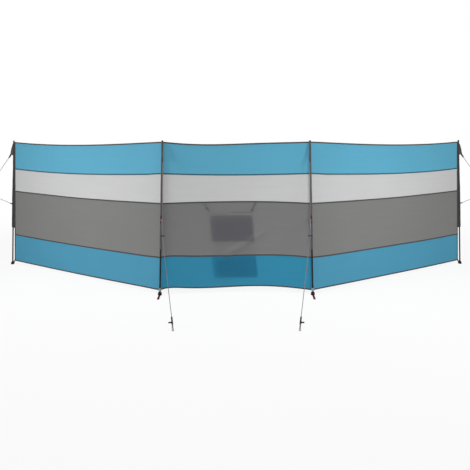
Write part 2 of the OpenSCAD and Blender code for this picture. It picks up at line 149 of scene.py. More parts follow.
def white_to_camera(tree, shaded, share):
    """Mixes white light into what the camera, metal and clear things see."""
    path = tree.nodes.new("ShaderNodeLightPath")
    sees = path.outputs["Is Camera Ray"]
    for other in ("Is Glossy Ray", "Is Transmission Ray"):
        most = tree.nodes.new("ShaderNodeMath")
        most.operation = "MAXIMUM"
        tree.links.new(sees, most.inputs[0])
        tree.links.new(path.outputs[other], most.inputs[1])
        sees = most.outputs[0]
    scale = tree.nodes.new("ShaderNodeMath")
    scale.operation = "MULTIPLY"
    tree.links.new(sees, scale.inputs[0])
    if isinstance(share, float):
        scale.inputs[1].default_value = share
    else:
        tree.links.new(share, scale.inputs[1])
    mix = tree.nodes.new("ShaderNodeMixShader")
    tree.links.new(scale.outputs[0], mix.inputs[0])
    tree.links.new(shaded, mix.inputs[1])
    return mix


sky = bpy.data.worlds.new("white_studio")
bpy.context.scene.world = sky
sky.use_nodes = True
sky_tree = sky.node_tree
sky_light = sky_tree.nodes["Background"]
sky_light.inputs["Color"].default_value = (1, 1, 1, 1)
sky_light.inputs["Strength"].default_value = 0.30
sky_white = sky_tree.nodes.new("ShaderNodeBackground")
sky_white.inputs["Color"].default_value = (1, 1, 1, 1)
sky_mix = white_to_camera(sky_tree, sky_light.outputs[0], 1.0)
sky_tree.links.new(sky_white.outputs[0], sky_mix.inputs[2])
sky_tree.links.new(sky_mix.outputs[0], sky_tree.nodes["World Output"].inputs["Surface"])

level_lamp("top_lamp", (0.62, -0.6, 5.0), (0.62, 0.2, 0.7), (5.0, 2.0), 148)
level_lamp("left_wing_lamp", (-3.8, -1.7, 2.1), (-0.52, 0.30, 0.65), (1.2, 1.2), 8.6, spread=51)
level_lamp("right_wing_lamp", (3.39, -3.3, 1.9), (1.88, 0.37, 0.65), (1.2, 1.2), 8.6, spread=54)
level_lamp("back_lamp", (0.62, 5.4, 3.8), (0.62, 0.2, 0.7), (5.0, 2.4), 31)

floor_mesh = bpy.data.meshes.new("floor")
floor_mesh.from_pydata([(-40, -40, 0), (41, -40, 0), (41, 60, 0), (-40, 60, 0)], [], [(0, 1, 2, 3)])
floor = add_object("floor", floor_mesh)
floor_white = bpy.data.materials.new("floor_white")
floor_white.use_nodes = True
floor_tree = floor_white.node_tree
floor_shader = floor_tree.nodes["Principled BSDF"]
floor_shader.inputs["Base Color"].default_value = (0.9, 0.9, 0.9, 1)
floor_shader.inputs["Roughness"].default_value = 0.9
floor_place = floor_tree.nodes.new("ShaderNodeTexCoord")
floor_far = floor_tree.nodes.new("ShaderNodeVectorMath")
floor_far.operation = "DISTANCE"
floor_far.inputs[1].default_value = (0.62, 0.5, 0)
floor_fade = floor_tree.nodes.new("ShaderNodeMapRange")
floor_fade.interpolation_type = "SMOOTHSTEP"
floor_fade.inputs["From Min"].default_value, floor_fade.inputs["From Max"].default_value = 2.6, 5.0
floor_fade.inputs["To Min"].default_value, floor_fade.inputs["To Max"].default_value = 0.86, 1.0
floor_tree.links.new(floor_place.outputs["Object"], floor_far.inputs[0])
floor_tree.links.new(floor_far.outputs["Value"], floor_fade.inputs["Value"])
floor_glow = floor_tree.nodes.new("ShaderNodeEmission")
floor_mix = white_to_camera(floor_tree, floor_shader.outputs[0], floor_fade.outputs["Result"])
floor_tree.links.new(floor_glow.outputs[0], floor_mix.inputs[2])
floor_tree.links.new(floor_mix.outputs[0], floor_tree.nodes["Material Output"].inputs["Surface"])
floor_mesh.materials.append(floor_white)
print("stage: sky, 4 lamps, floor")

# %% [markdown]
# ## Small tools for shader trees
#
# A finish here is a handful of nodes, and several finishes share the same effect, such as a weave. Each shared
# effect becomes a node group with named inputs, so it is drawn once and then tuned per cloth. The alternative,
# copying nodes from one material to the next, makes every later change a hunt.

# %% Node helpers
def srgb(red, green, blue):
    """A colour as it reads on screen, 0 to 255, turned into the linear values that shaders use."""
    return tuple(((c / 255 + 0.055) / 1.055) ** 2.4 if c > 10 else c / 255 / 12.92 for c in (red, green, blue)) + (1,)


def calc(tree, operation, *terms):
    node = tree.nodes.new("ShaderNodeMath")
    node.operation = operation
    for socket, term in zip(node.inputs, terms):
        if isinstance(term, (int, float)):
            socket.default_value = term
        else:
            tree.links.new(term, socket)
    return node.outputs[0]


def effect(name, takes, gives):
    """A new shader group with named inputs and outputs."""
    tree = bpy.data.node_groups.new(name, "ShaderNodeTree")
    for label, kind, value in takes:
        socket = tree.interface.new_socket(label, in_out="INPUT", socket_type="NodeSocket" + kind)
        if value is not None:
            socket.default_value = value
    for label, kind in gives:
        tree.interface.new_socket(label, in_out="OUTPUT", socket_type="NodeSocket" + kind)
    return tree, tree.nodes.new("NodeGroupInput").outputs, tree.nodes.new("NodeGroupOutput").inputs


def use_effect(tree, group, **values):
    """Adds a group to a material. A value is a socket to link or a number or colour to set."""
    node = tree.nodes.new("ShaderNodeGroup")
    node.node_tree = group
    for label, value in values.items():
        socket = node.inputs[label.replace("_", " ")]
        if isinstance(value, bpy.types.NodeSocket):
            tree.links.new(value, socket)
        else:
            socket.default_value = value
    return node.outputs


def new_finish(name):
    material = bpy.data.materials.new(name)
    material.use_nodes = True
    return material, material.node_tree, material.node_tree.nodes["Principled BSDF"]


def raise_surface(tree, shader, height):
    """Bump from a height in metres."""
    bump = tree.nodes.new("ShaderNodeBump")
    bump.inputs["Distance"].default_value = 1.0
    tree.links.new(height, bump.inputs["Height"])
    tree.links.new(bump.outputs[0], shader.inputs["Normal"])


# %% [markdown]
# ## Shared effects: weave, uneven dye, ribs, braid and grain
#
# The cloth is a plain weave of threads well under a millimetre apart. A product of two sine waves gives the
# over-and-under of such a weave at any scale. Webbing and tape have ribs, which one slanted wave gives. A
# braided cord is two sets of strands that wind in opposite ways. Dye and wear are never even, so a soft noise
# shifts each colour a little.

# %% Effect groups
weave, put, out = effect(
    "Plain weave",
    [("Place", "Vector", None), ("Pitch", "Float", 0.0007), ("Depth", "Float", 0.00006)],
    [("Height", "Float")],
)
axes = weave.nodes.new("ShaderNodeSeparateXYZ")
weave.links.new(put["Place"], axes.inputs[0])
waves = [calc(weave, "SINE", calc(weave, "MULTIPLY", calc(weave, "DIVIDE", axes.outputs[k], put["Pitch"]), math.pi))
         for k in (0, 1)]
weave.links.new(calc(weave, "MULTIPLY", calc(weave, "MULTIPLY", *waves), put["Depth"]), out["Height"])

dye, put, out = effect(
    "Uneven dye",
    [("Colour", "Color", (1, 1, 1, 1)), ("Place", "Vector", None), ("Patches", "Float", 6.0), ("Amount", "Float", 0.06)],
    [("Colour", "Color")],
)
cloud = dye.nodes.new("ShaderNodeTexNoise")
cloud.inputs["Detail"].default_value = 3
dye.links.new(put["Place"], cloud.inputs["Vector"])
dye.links.new(put["Patches"], cloud.inputs["Scale"])
swing = calc(dye, "MULTIPLY", put["Amount"], 2.0)
level = calc(dye, "MULTIPLY_ADD", calc(dye, "SUBTRACT", cloud.outputs["Fac"], 0.5), swing, 1.0)
tint = dye.nodes.new("ShaderNodeVectorMath")
tint.operation = "SCALE"
dye.links.new(put["Colour"], tint.inputs[0])
dye.links.new(level, tint.inputs["Scale"])
dye.links.new(tint.outputs[0], out["Colour"])

ribs, put, out = effect(
    "Webbing ribs",
    [("Place", "Vector", None), ("Pitch", "Float", 0.0016), ("Slant", "Float", 0.8), ("Depth", "Float", 0.00018)],
    [("Height", "Float")],
)
axes = ribs.nodes.new("ShaderNodeSeparateXYZ")
ribs.links.new(put["Place"], axes.inputs[0])
leaning = calc(ribs, "MULTIPLY_ADD", calc(ribs, "ABSOLUTE", axes.outputs[1]), put["Slant"], axes.outputs[0])
phase = calc(ribs, "MULTIPLY", calc(ribs, "DIVIDE", leaning, put["Pitch"]), math.pi)
rib = calc(ribs, "ABSOLUTE", calc(ribs, "SINE", phase))
ribs.links.new(calc(ribs, "MULTIPLY", rib, put["Depth"]), out["Height"])

braid, put, out = effect(
    "Cord braid",
    [("Ring", "Vector", None), ("Along", "Float", 0.0), ("Lay", "Float", 0.0085), ("Depth", "Float", 0.00022)],
    [("Height", "Float"), ("Strand", "Float")],
)
axes = braid.nodes.new("ShaderNodeSeparateXYZ")
braid.links.new(put["Ring"], axes.inputs[0])
angle = calc(braid, "MULTIPLY", calc(braid, "ARCTAN2", axes.outputs[1], axes.outputs[0]), 4.0)
turn = calc(braid, "MULTIPLY", calc(braid, "DIVIDE", put["Along"], put["Lay"]), 8 * math.pi)
sets = [calc(braid, "SINE", calc(braid, way, turn, angle)) for way in ("ADD", "SUBTRACT")]
strand = calc(braid, "MAXIMUM", *sets)
braid.links.new(strand, out["Strand"])
braid.links.new(calc(braid, "MULTIPLY", strand, put["Depth"]), out["Height"])

grain, put, out = effect(
    "Moulded grain",
    [("Place", "Vector", None), ("Size", "Float", 900.0), ("Depth", "Float", 0.00004)],
    [("Height", "Float"), ("Scuff", "Float")],
)
speckle = grain.nodes.new("ShaderNodeTexNoise")
speckle.inputs["Detail"].default_value = 2
grain.links.new(put["Place"], speckle.inputs["Vector"])
grain.links.new(put["Size"], speckle.inputs["Scale"])
scuffs = grain.nodes.new("ShaderNodeTexNoise")
scuffs.inputs["Scale"].default_value, scuffs.inputs["Detail"].default_value = 70, 4
grain.links.new(put["Place"], scuffs.inputs["Vector"])
grain.links.new(calc(grain, "MULTIPLY", speckle.outputs["Fac"], put["Depth"]), out["Height"])
grain.links.new(scuffs.outputs["Fac"], out["Scuff"])
print("effects:", [g.name for g in bpy.data.node_groups])

# %% [markdown]
# ## What shows through the cloth
#
# The organiser hangs close behind the middle bay, and thin cloth lets its pockets show as darker fields. Part of
# that comes from the light that the pockets hold back. The rest is painted shade in the base colour of the two
# bands in front, as soft-edged boxes in the object's own coordinates, so that it stays in place from any side.
# Each box says which share of red, green and blue it takes away, and one strip is painted lighter instead.

# %% Show-through boxes
ORGANISER_TOP = Vector((0.575, 0.086, 0.6673))
ORGANISER_W, ORGANISER_H, ORGANISER_HEM = 0.352, 0.545, 0.042
UPPER_POCKET_H, LOWER_POCKET_H, POCKET_DEPTH = 0.206, 0.178, 0.022
ORGANISER_SLANT = math.tan(math.radians(5))

# A mask for painted shade: a soft-edged box in object coordinates.
shade_box, put, out = effect(
    "Painted shade box",
    [("Place", "Vector", None), ("Middle x", "Float", 0.0), ("Middle z", "Float", 0.0), ("Half width", "Float", 0.1),
     ("Half height", "Float", 0.1), ("Soft", "Float", 0.006), ("Round", "Float", 0.02), ("Slant", "Float", 0.0)],
    [("Mask", "Float")],
)
axes = shade_box.nodes.new("ShaderNodeSeparateXYZ")
shade_box.links.new(put["Place"], axes.inputs[0])
below = calc(shade_box, "SUBTRACT", axes.outputs[2], put["Middle z"])
upright = calc(shade_box, "MULTIPLY_ADD", below, put["Slant"], axes.outputs[0])
beside = calc(shade_box, "SUBTRACT", upright, put["Middle x"])
off_x = calc(shade_box, "SUBTRACT", calc(shade_box, "ABSOLUTE", beside), put["Half width"])
off_z = calc(shade_box, "SUBTRACT", calc(shade_box, "ABSOLUTE", below), put["Half height"])
edge = shade_box.nodes.new("ShaderNodeMapRange")
edge.interpolation_type = "SMOOTHSTEP"
edge.inputs["To Min"].default_value, edge.inputs["To Max"].default_value = 1, 0
shade_box.links.new(calc(shade_box, "SMOOTH_MAX", off_x, off_z, put["Round"]), edge.inputs["Value"])
shade_box.links.new(calc(shade_box, "MULTIPLY", put["Soft"], -1.0), edge.inputs["From Min"])
shade_box.links.new(put["Soft"], edge.inputs["From Max"])
shade_box.links.new(edge.outputs["Result"], out["Mask"])


def organiser_x(z):
    """Middle of the organiser at a height: it hangs with a slant to the right."""
    return ORGANISER_TOP.x + (ORGANISER_TOP.z - z) * ORGANISER_SLANT


# A soft box of painted shade in the base colour; a negative share paints it lighter.
def painted_shade_box(low, high, half_width, dark, soft=0.007, rounding=0.03, slant=ORGANISER_SLANT, x=None):
    z = (low + high) / 2
    middle = organiser_x(z) if x is None else x
    return dict(Middle_x=middle, Middle_z=z, Half_width=half_width, Half_height=(high - low) / 2,
                Soft=soft, Round=rounding, Slant=slant), dark


HEM_LOW, LOWEST = ORGANISER_TOP.z - ORGANISER_HEM, ORGANISER_TOP.z - ORGANISER_H
LINE_SHADE, STRAP_SHADE, PAINTED_LIGHTER = (0.30, 0.30, 0.31), (0.36, 0.36, 0.36), (-0.16, -0.16, -0.16)
CRISP, STRAP_EDGE = dict(soft=0.004, rounding=0.002), dict(soft=0.006, rounding=0.004)
STRAP_END = dict(soft=0.006, rounding=0.008, slant=0)
PAINTED_SHADE_BOXES = [
    # Painted shade of the upper and the lower pocket
    painted_shade_box(HEM_LOW - UPPER_POCKET_H, HEM_LOW, 0.176, (0.24, 0.26, 0.17), rounding=0.04),
    painted_shade_box(LOWEST, LOWEST + LOWER_POCKET_H, 0.184, (0.47, 0.18, 0.11), slant=0.13, x=0.607),
    # Painted shade along the edges of the top hem, and a painted lighter strip between them
    painted_shade_box(0.657, 0.665, 0.085, LINE_SHADE, x=0.662, **CRISP),
    painted_shade_box(0.6265, 0.6325, 0.165, LINE_SHADE, **CRISP),
    painted_shade_box(0.640, 0.651, 0.100, PAINTED_LIGHTER, soft=0.005, rounding=0.002, x=0.65),
    # Painted shade of the two straps, and of where they are sewn to the hem
    painted_shade_box(0.672, 0.732, 0.008, STRAP_SHADE, slant=0.737, x=0.3767, **STRAP_EDGE),
    painted_shade_box(0.672, 0.742, 0.008, STRAP_SHADE, slant=-0.521, x=0.7647, **STRAP_EDGE),
    painted_shade_box(0.686, 0.704, 0.011, LINE_SHADE, x=0.377, **STRAP_END),
    painted_shade_box(0.668, 0.686, 0.011, LINE_SHADE, x=0.752, **STRAP_END),
]
print("show-through boxes:", len(PAINTED_SHADE_BOXES))

# %% [markdown]
# ## Cloth finishes
#
# The polyester is matt with a faint sheen. A share of Translucent shader lets the light behind come through, as
# thin cloth does. Its weave follows the cloth's own UV map, which is laid out in metres, so threads keep their
# size on every band. The upper and the lower blue are one cloth: the upper is painted lighter and the lower
# darker, as painted light from above and painted shade below.

# %% Cloth materials
def cloth_finish(name, colour, glow, through=0.30, painted_shade=()):
    material, tree, shader = new_finish(name)
    spot = tree.nodes.new("ShaderNodeTexCoord").outputs["Object"]
    lay = tree.nodes.new("ShaderNodeUVMap")
    lay.uv_map = "metres"
    dyed = use_effect(tree, dye, Colour=colour, Place=spot, Patches=2.2, Amount=0.05)
    drawn = tree.nodes.new("ShaderNodeVectorMath")
    drawn.operation = "MULTIPLY"
    tree.links.new(spot, drawn.inputs[0])
    drawn.inputs[1].default_value = (1.0, 1.0, 11.0)
    base = use_effect(tree, dye, Colour=dyed["Colour"], Place=drawn.outputs[0], Patches=3.6, Amount=0.06)["Colour"]
    # Painted shade of the organiser: each box takes its share off the base colour.
    for box, dark in painted_shade:
        mask = use_effect(tree, shade_box, Place=spot, **box)["Mask"]
        keep, dim = (tree.nodes.new("ShaderNodeVectorMath") for _ in range(2))
        keep.operation, dim.operation = "MULTIPLY_ADD", "MULTIPLY"
        tree.links.new(mask, keep.inputs[0])
        keep.inputs[1].default_value, keep.inputs[2].default_value = [-d for d in dark], (1, 1, 1)
        tree.links.new(base, dim.inputs[0])
        tree.links.new(keep.outputs[0], dim.inputs[1])
        base = dim.outputs[0]
    tree.links.new(base, shader.inputs["Base Color"])
    threads = use_effect(tree, weave, Place=lay.outputs[0])["Height"]
    crumple = tree.nodes.new("ShaderNodeTexNoise")
    crumple.inputs["Scale"].default_value, crumple.inputs["Detail"].default_value = 16, 4
    tree.links.new(spot, crumple.inputs["Vector"])
    raise_surface(tree, shader, calc(tree, "MULTIPLY_ADD", crumple.outputs["Fac"], 0.0009, threads))
    shader.inputs["Roughness"].default_value = 0.7
    shader.inputs["Specular IOR Level"].default_value = 0.3
    shader.inputs["Sheen Weight"].default_value = 0.06
    thin = tree.nodes.new("ShaderNodeBsdfTranslucent")
    thin.inputs["Color"].default_value = glow
    mix = tree.nodes.new("ShaderNodeMixShader")
    mix.inputs[0].default_value = through
    tree.links.new(shader.outputs[0], mix.inputs[1])
    tree.links.new(thin.outputs[0], mix.inputs[2])
    tree.links.new(mix.outputs[0], tree.nodes["Material Output"].inputs["Surface"])
    return material


# Painted light and shade: one blue cloth, in a lighter copy for the top band and a darker copy for the bottom.
lit_upper_blue = cloth_finish("lit_upper_blue_cloth", srgb(88, 168, 199), srgb(105, 182, 209))
shaded_lower_blue = cloth_finish("shaded_lower_blue_cloth", srgb(71, 147, 178), srgb(81, 158, 188))
pale_cloth = cloth_finish("pale_cloth", srgb(203, 203, 203), srgb(209, 209, 209))
grey_cloth = cloth_finish("grey_cloth", srgb(125, 125, 123), srgb(131, 131, 130))
# Painted shade: the middle bay's grey and lower blue are darker copies of the wing cloths, with the painted shade boxes
# on top.
shaded_middle_grey = cloth_finish("middle_grey_cloth", srgb(122, 122, 121), srgb(124, 124, 124), painted_shade=PAINTED_SHADE_BOXES)
shaded_middle_blue = cloth_finish("shaded_middle_lower_blue_cloth", srgb(45, 134, 167), srgb(51, 141, 174), painted_shade=PAINTED_SHADE_BOXES[1:2])
organiser_cloth = cloth_finish("organiser_cloth", srgb(206, 206, 204), srgb(240, 240, 238), through=0.8)

# %% [markdown]
# ## Trim finishes: tape, sleeve, webbing, cord, steel and plastic
#
# The trim is what the hand and the eye meet close by, so each finish has its own surface: ribbed tape, woven
# sleeve cloth, herringbone webbing, braided cord, black paint on steel with faint scuffs and grained plastic.
# Colour variation and roughness come from the same groups as above. The webbing on the ground has less shine,
# because it is seen at a low angle, where any gloss would turn it pale, and its red is a darker copy of the same
# webbing, painted shade.

# %% Trim materials
def trim_finish(name, colour, place, group, sheen=0.0, shine=0.35, **sizes):
    """A woven trim: an uneven dye, with the pattern of its threads as bump."""
    material, tree, shader = new_finish(name)
    spot = tree.nodes.new("ShaderNodeTexCoord").outputs["Object"]
    if place == "sweep":
        where = tree.nodes.new("ShaderNodeAttribute")
        where.attribute_name = "lay"
        lay = where.outputs["Vector"]
    else:
        where = tree.nodes.new("ShaderNodeUVMap")
        where.uv_map = "metres"
        lay = where.outputs[0]
    pattern = use_effect(tree, group, Place=lay, **sizes)
    dyed = use_effect(tree, dye, Colour=colour, Place=spot, Patches=30.0, Amount=0.12)["Colour"]
    tree.links.new(dyed, shader.inputs["Base Color"])
    raise_surface(tree, shader, pattern["Height"])
    shader.inputs["Roughness"].default_value = 0.8
    shader.inputs["Specular IOR Level"].default_value = shine
    shader.inputs["Sheen Weight"].default_value = sheen
    return material


TAPE_RIBS = dict(Pitch=0.0011, Slant=0.0, Depth=0.00012)
HERRINGBONE = dict(Pitch=0.0017, Slant=0.9, Depth=0.0002)
SLEEVE_WEAVE = dict(Pitch=0.0008, Depth=0.00009, sheen=0.05)

seam_tape = trim_finish("seam_tape", srgb(70, 69, 70), "sweep", ribs, **TAPE_RIBS)
blue_tape = trim_finish("blue_tape", srgb(52, 96, 112), "sweep", ribs, **TAPE_RIBS)
dark_tape = trim_finish("dark_tape", srgb(70, 69, 70), "uv", ribs, **TAPE_RIBS)
sleeve_cloth = trim_finish("sleeve_cloth", srgb(84, 80, 82), "uv", weave, **SLEEVE_WEAVE)
# Painted shade: the end sleeves are a darker copy of the same sleeve cloth.
shaded_end_sleeve_cloth = trim_finish("shaded_end_sleeve_cloth", srgb(54, 52, 53), "uv", weave, **SLEEVE_WEAVE)
red_webbing = trim_finish("red_webbing", srgb(84, 24, 31), "uv", ribs, sheen=0.08, **HERRINGBONE)
# Painted shade: the peg-loop webbing is a darker copy of the red webbing.
shaded_ground_webbing = trim_finish("shaded_ground_webbing", srgb(64, 12, 18), "uv", ribs, shine=0.08, **HERRINGBONE)
# Painted shade: the same red webbing in a darker, greyer copy, for the loops halfway up the sleeves.
shaded_red_webbing = trim_finish("shaded_red_webbing", srgb(78, 42, 46), "uv", ribs, **HERRINGBONE)
grey_webbing = trim_finish("grey_webbing", srgb(156, 154, 158), "uv", ribs, **HERRINGBONE)
black_webbing = trim_finish("black_webbing", srgb(24, 23, 25), "uv", ribs, sheen=0.08, **HERRINGBONE)
pocket_cloth = trim_finish("pocket_cloth", srgb(62, 61, 66), "uv", weave, Pitch=0.0012, Depth=0.00014, sheen=0.06)


def thread_finish(name, colour):
    material, tree, shader = new_finish(name)
    spot = tree.nodes.new("ShaderNodeTexCoord").outputs["Object"]
    dyed = use_effect(tree, dye, Colour=colour, Place=spot, Patches=400.0, Amount=0.2)["Colour"]
    tree.links.new(dyed, shader.inputs["Base Color"])
    shader.inputs["Roughness"].default_value = 0.6
    return material


dark_thread = thread_finish("dark_thread", srgb(52, 51, 53))
red_thread = thread_finish("red_thread", srgb(88, 20, 30))

guy_cord, tree, shader = new_finish("guy_cord")
ring, along = (tree.nodes.new("ShaderNodeAttribute") for _ in range(2))
ring.attribute_name, along.attribute_name = "ring", "along"
plait = use_effect(tree, braid, Ring=ring.outputs["Vector"], Along=along.outputs["Fac"])
fleck = tree.nodes.new("ShaderNodeMix")
fleck.data_type = "RGBA"
fleck.inputs["A"].default_value, fleck.inputs["B"].default_value = srgb(92, 87, 92), srgb(132, 126, 132)
tree.links.new(calc(tree, "MULTIPLY_ADD", plait["Strand"], 0.5, 0.5), fleck.inputs["Factor"])
tree.links.new(fleck.outputs["Result"], shader.inputs["Base Color"])
raise_surface(tree, shader, plait["Height"])
shader.inputs["Roughness"].default_value = 0.75


def hard_finish(name, colour, rough, size, depth):
    material, tree, shader = new_finish(name)
    spot = tree.nodes.new("ShaderNodeTexCoord").outputs["Object"]
    skin = use_effect(tree, grain, Place=spot, Size=size, Depth=depth)
    dyed = use_effect(tree, dye, Colour=colour, Place=spot, Patches=45.0, Amount=0.15)["Colour"]
    tree.links.new(dyed, shader.inputs["Base Color"])
    tree.links.new(calc(tree, "MULTIPLY_ADD", skin["Scuff"], 0.3, rough - 0.15), shader.inputs["Roughness"])
    raise_surface(tree, shader, skin["Height"])
    shader.inputs["Specular IOR Level"].default_value = 0.2
    return material


steel_tube = hard_finish("steel_tube", srgb(22, 23, 26), 0.5, 240.0, 0.000012)
black_plastic = hard_finish("black_plastic", srgb(18, 17, 18), 0.55, 900.0, 0.00004)
print("finishes:", len(bpy.data.materials))

# %% [markdown]
# ## The hanging cloth as a rule
#
# The cloth hangs between two sewn edges. It sags a little along its top, the middle bay bellies to the back,
# small folds run out of each corner where it is pulled, and the seams gather it slightly. A cloth simulation
# could make such a shape, but a rule gives the same place to cloth, tapes and stitches, and it can be set to
# the picture. One soft crease crosses the middle bay below the upper pocket.

# %% Cloth surface
SEAMS = (0.0055, 0.2605, 0.5055, 0.9445, 1.2065)
TAPE_WIDTH, BINDING, CORNER_SEAM = 0.011, 0.014, 0.003
CREASE = (Vector((0.50, 0.28)), Vector((0.86, 0.49)))


def ease(t):
    t = min(max(t, 0.0), 1.0)
    return t * t * (3 - 2 * t)


def arch(u):
    return 4 * u * (1 - u)


def bay_length(bay):
    return (sewn_edge(bay + 1, 0) - sewn_edge(bay, 0)).length


def sag(bay, v):
    if bay == 1:
        return 0.027 * ease((v - 0.55) / 0.3) - 0.010
    return 0.005 + 0.022 * ease((v - 0.5) / 0.3)


def fall(bay, u, v):
    """How far the cloth hangs below the straight line between its sewn edges."""
    if bay == 1:
        tilt = ease((v - 0.8) / 0.2) + ease((0.45 - v) / 0.2)
        lift = 0.017 * u / 0.08 * math.exp(1 - u / 0.08) * ease(1 - v / 0.62)
        low = 0.009 * math.exp(-(((u - 0.6) / 0.22) ** 2)) * ease(1 - abs(v - 0.22) / 0.22)
        return sag(1, v) * arch(u) + 0.009 * tilt * math.sin(2 * math.pi * u) * (1 - 0.6 * u) - lift + low
    out = max(1 - u if bay == 0 else u, 0)
    first = (0.006 * ease(out / 0.1) + 0.007 * out**2) * ease(1 - abs(v - 0.775) / 0.22)
    second = (0.004 * arch(out) - 0.004 * ease((out - 0.5) / 0.3)) * ease(1 - abs(v - 0.583) / 0.15)
    third = 0.005 * ease(out / 0.1) * ease((1 - out) / 0.3) * ease(1 - abs(v - 0.22) / 0.2)
    return sag(bay, v) * arch(out**1.2) + first + second + third


def belly(bay, v):
    return 0.062 * (1 - 0.45 * v * v) if bay == 1 else 0.008 * v


def bulge(bay, u):
    return arch(u) - (0.2 * math.sin(2 * math.pi * u) if bay == 1 else 0)


def corner_folds(x, length, drop):
    push = 0.0
    for k, (at_x, at_drop) in enumerate(((0, 0), (length, 0), (0, CLOTH_HEIGHT), (length, CLOTH_HEIGHT))):
        dx, dz = abs(x - at_x), abs(drop - at_drop)
        far = math.hypot(dx, dz)
        push += 0.0018 * ease(far / 0.06) * math.exp(-far / 0.2) * math.sin((8 + k % 2) * math.atan2(dz, dx) + k)
    return push


def gathers(x, drop):
    push = 0.0
    for k, seam in enumerate(SEAMS):
        near = abs(drop - seam)
        if near < 0.09:
            push += 0.00035 * (0.6 + 0.4 * math.sin(19 * x + k)) * math.exp(-near / 0.02) * math.sin(x / 0.0056 + 2 * k)
    return push


def crease(x, drop):
    start, stop = CREASE
    way = stop - start
    from_start = Vector((x, HEM_TOP - drop)) - start
    t = from_start.dot(way) / way.length_squared
    off = abs(from_start.x * way.y - from_start.y * way.x) / way.length
    return -0.010 * math.exp(-((off / 0.022) ** 2)) * ease((t + 0.15) / 0.3) * ease((1.15 - t) / 0.3)


def ripple(bay, u, drop):
    length = bay_length(bay)
    x, v = u * length, 1 - drop / CLOTH_HEIGHT
    slack = 0.003 * arch(u) * math.sin(4.1 * x + 2.2 * bay) * math.sin(2.6 * v + 0.4)
    push = corner_folds(x, length, drop) + gathers(x, drop) + slack
    if bay == 1:
        push += crease(x, drop)
    return push * ease(min(x, length - x) / 0.04)


def cloth(bay, u, drop):
    v = 1 - drop / CLOTH_HEIGHT
    point = sewn_edge(bay, sewn_at(bay, v)) * (1 - u) + sewn_edge(bay + 1, sewn_at(bay + 1, v)) * u
    return point - UP * fall(bay, u, v) + BACK[bay] * (belly(bay, v) * bulge(bay, u) + ripple(bay, u, drop))


def cloth_front(bay, u, drop):
    """The way out of the cloth's front face."""
    across = cloth(bay, u + 0.001, drop) - cloth(bay, u - 0.001, drop)
    down = cloth(bay, u, drop + 0.001) - cloth(bay, u, drop - 0.001)
    return down.cross(across).normalized()


def start_u(bay):
    return (BINDING if bay == 0 else CORNER_SEAM) / bay_length(bay)


def stop_u(bay):
    return 1 - (BINDING if bay == 2 else CORNER_SEAM) / bay_length(bay)


print("bay lengths:", [round(bay_length(b), 3) for b in range(3)])

# %% [markdown]
# ## From points to pieces
#
# Straps, sleeves, poles and feet are all rings of points joined one to the next, so one small class collects
# such rings into a mesh. It also lays a UV map in metres, along the piece and across it, which the woven
# finishes read. Blender's own primitives would need their UVs unwrapped and their ends closed afterwards.

# %% Ring builder and hand-over
BAND = ((-1, 0), (-0.97, 0.6), (-0.86, 0.92), (-0.3, 1), (0.3, 1), (0.86, 0.92), (0.97, 0.6),
        (1, 0), (0.97, -0.6), (0.86, -0.92), (0.3, -1), (-0.3, -1), (-0.86, -0.92), (-0.97, -0.6))


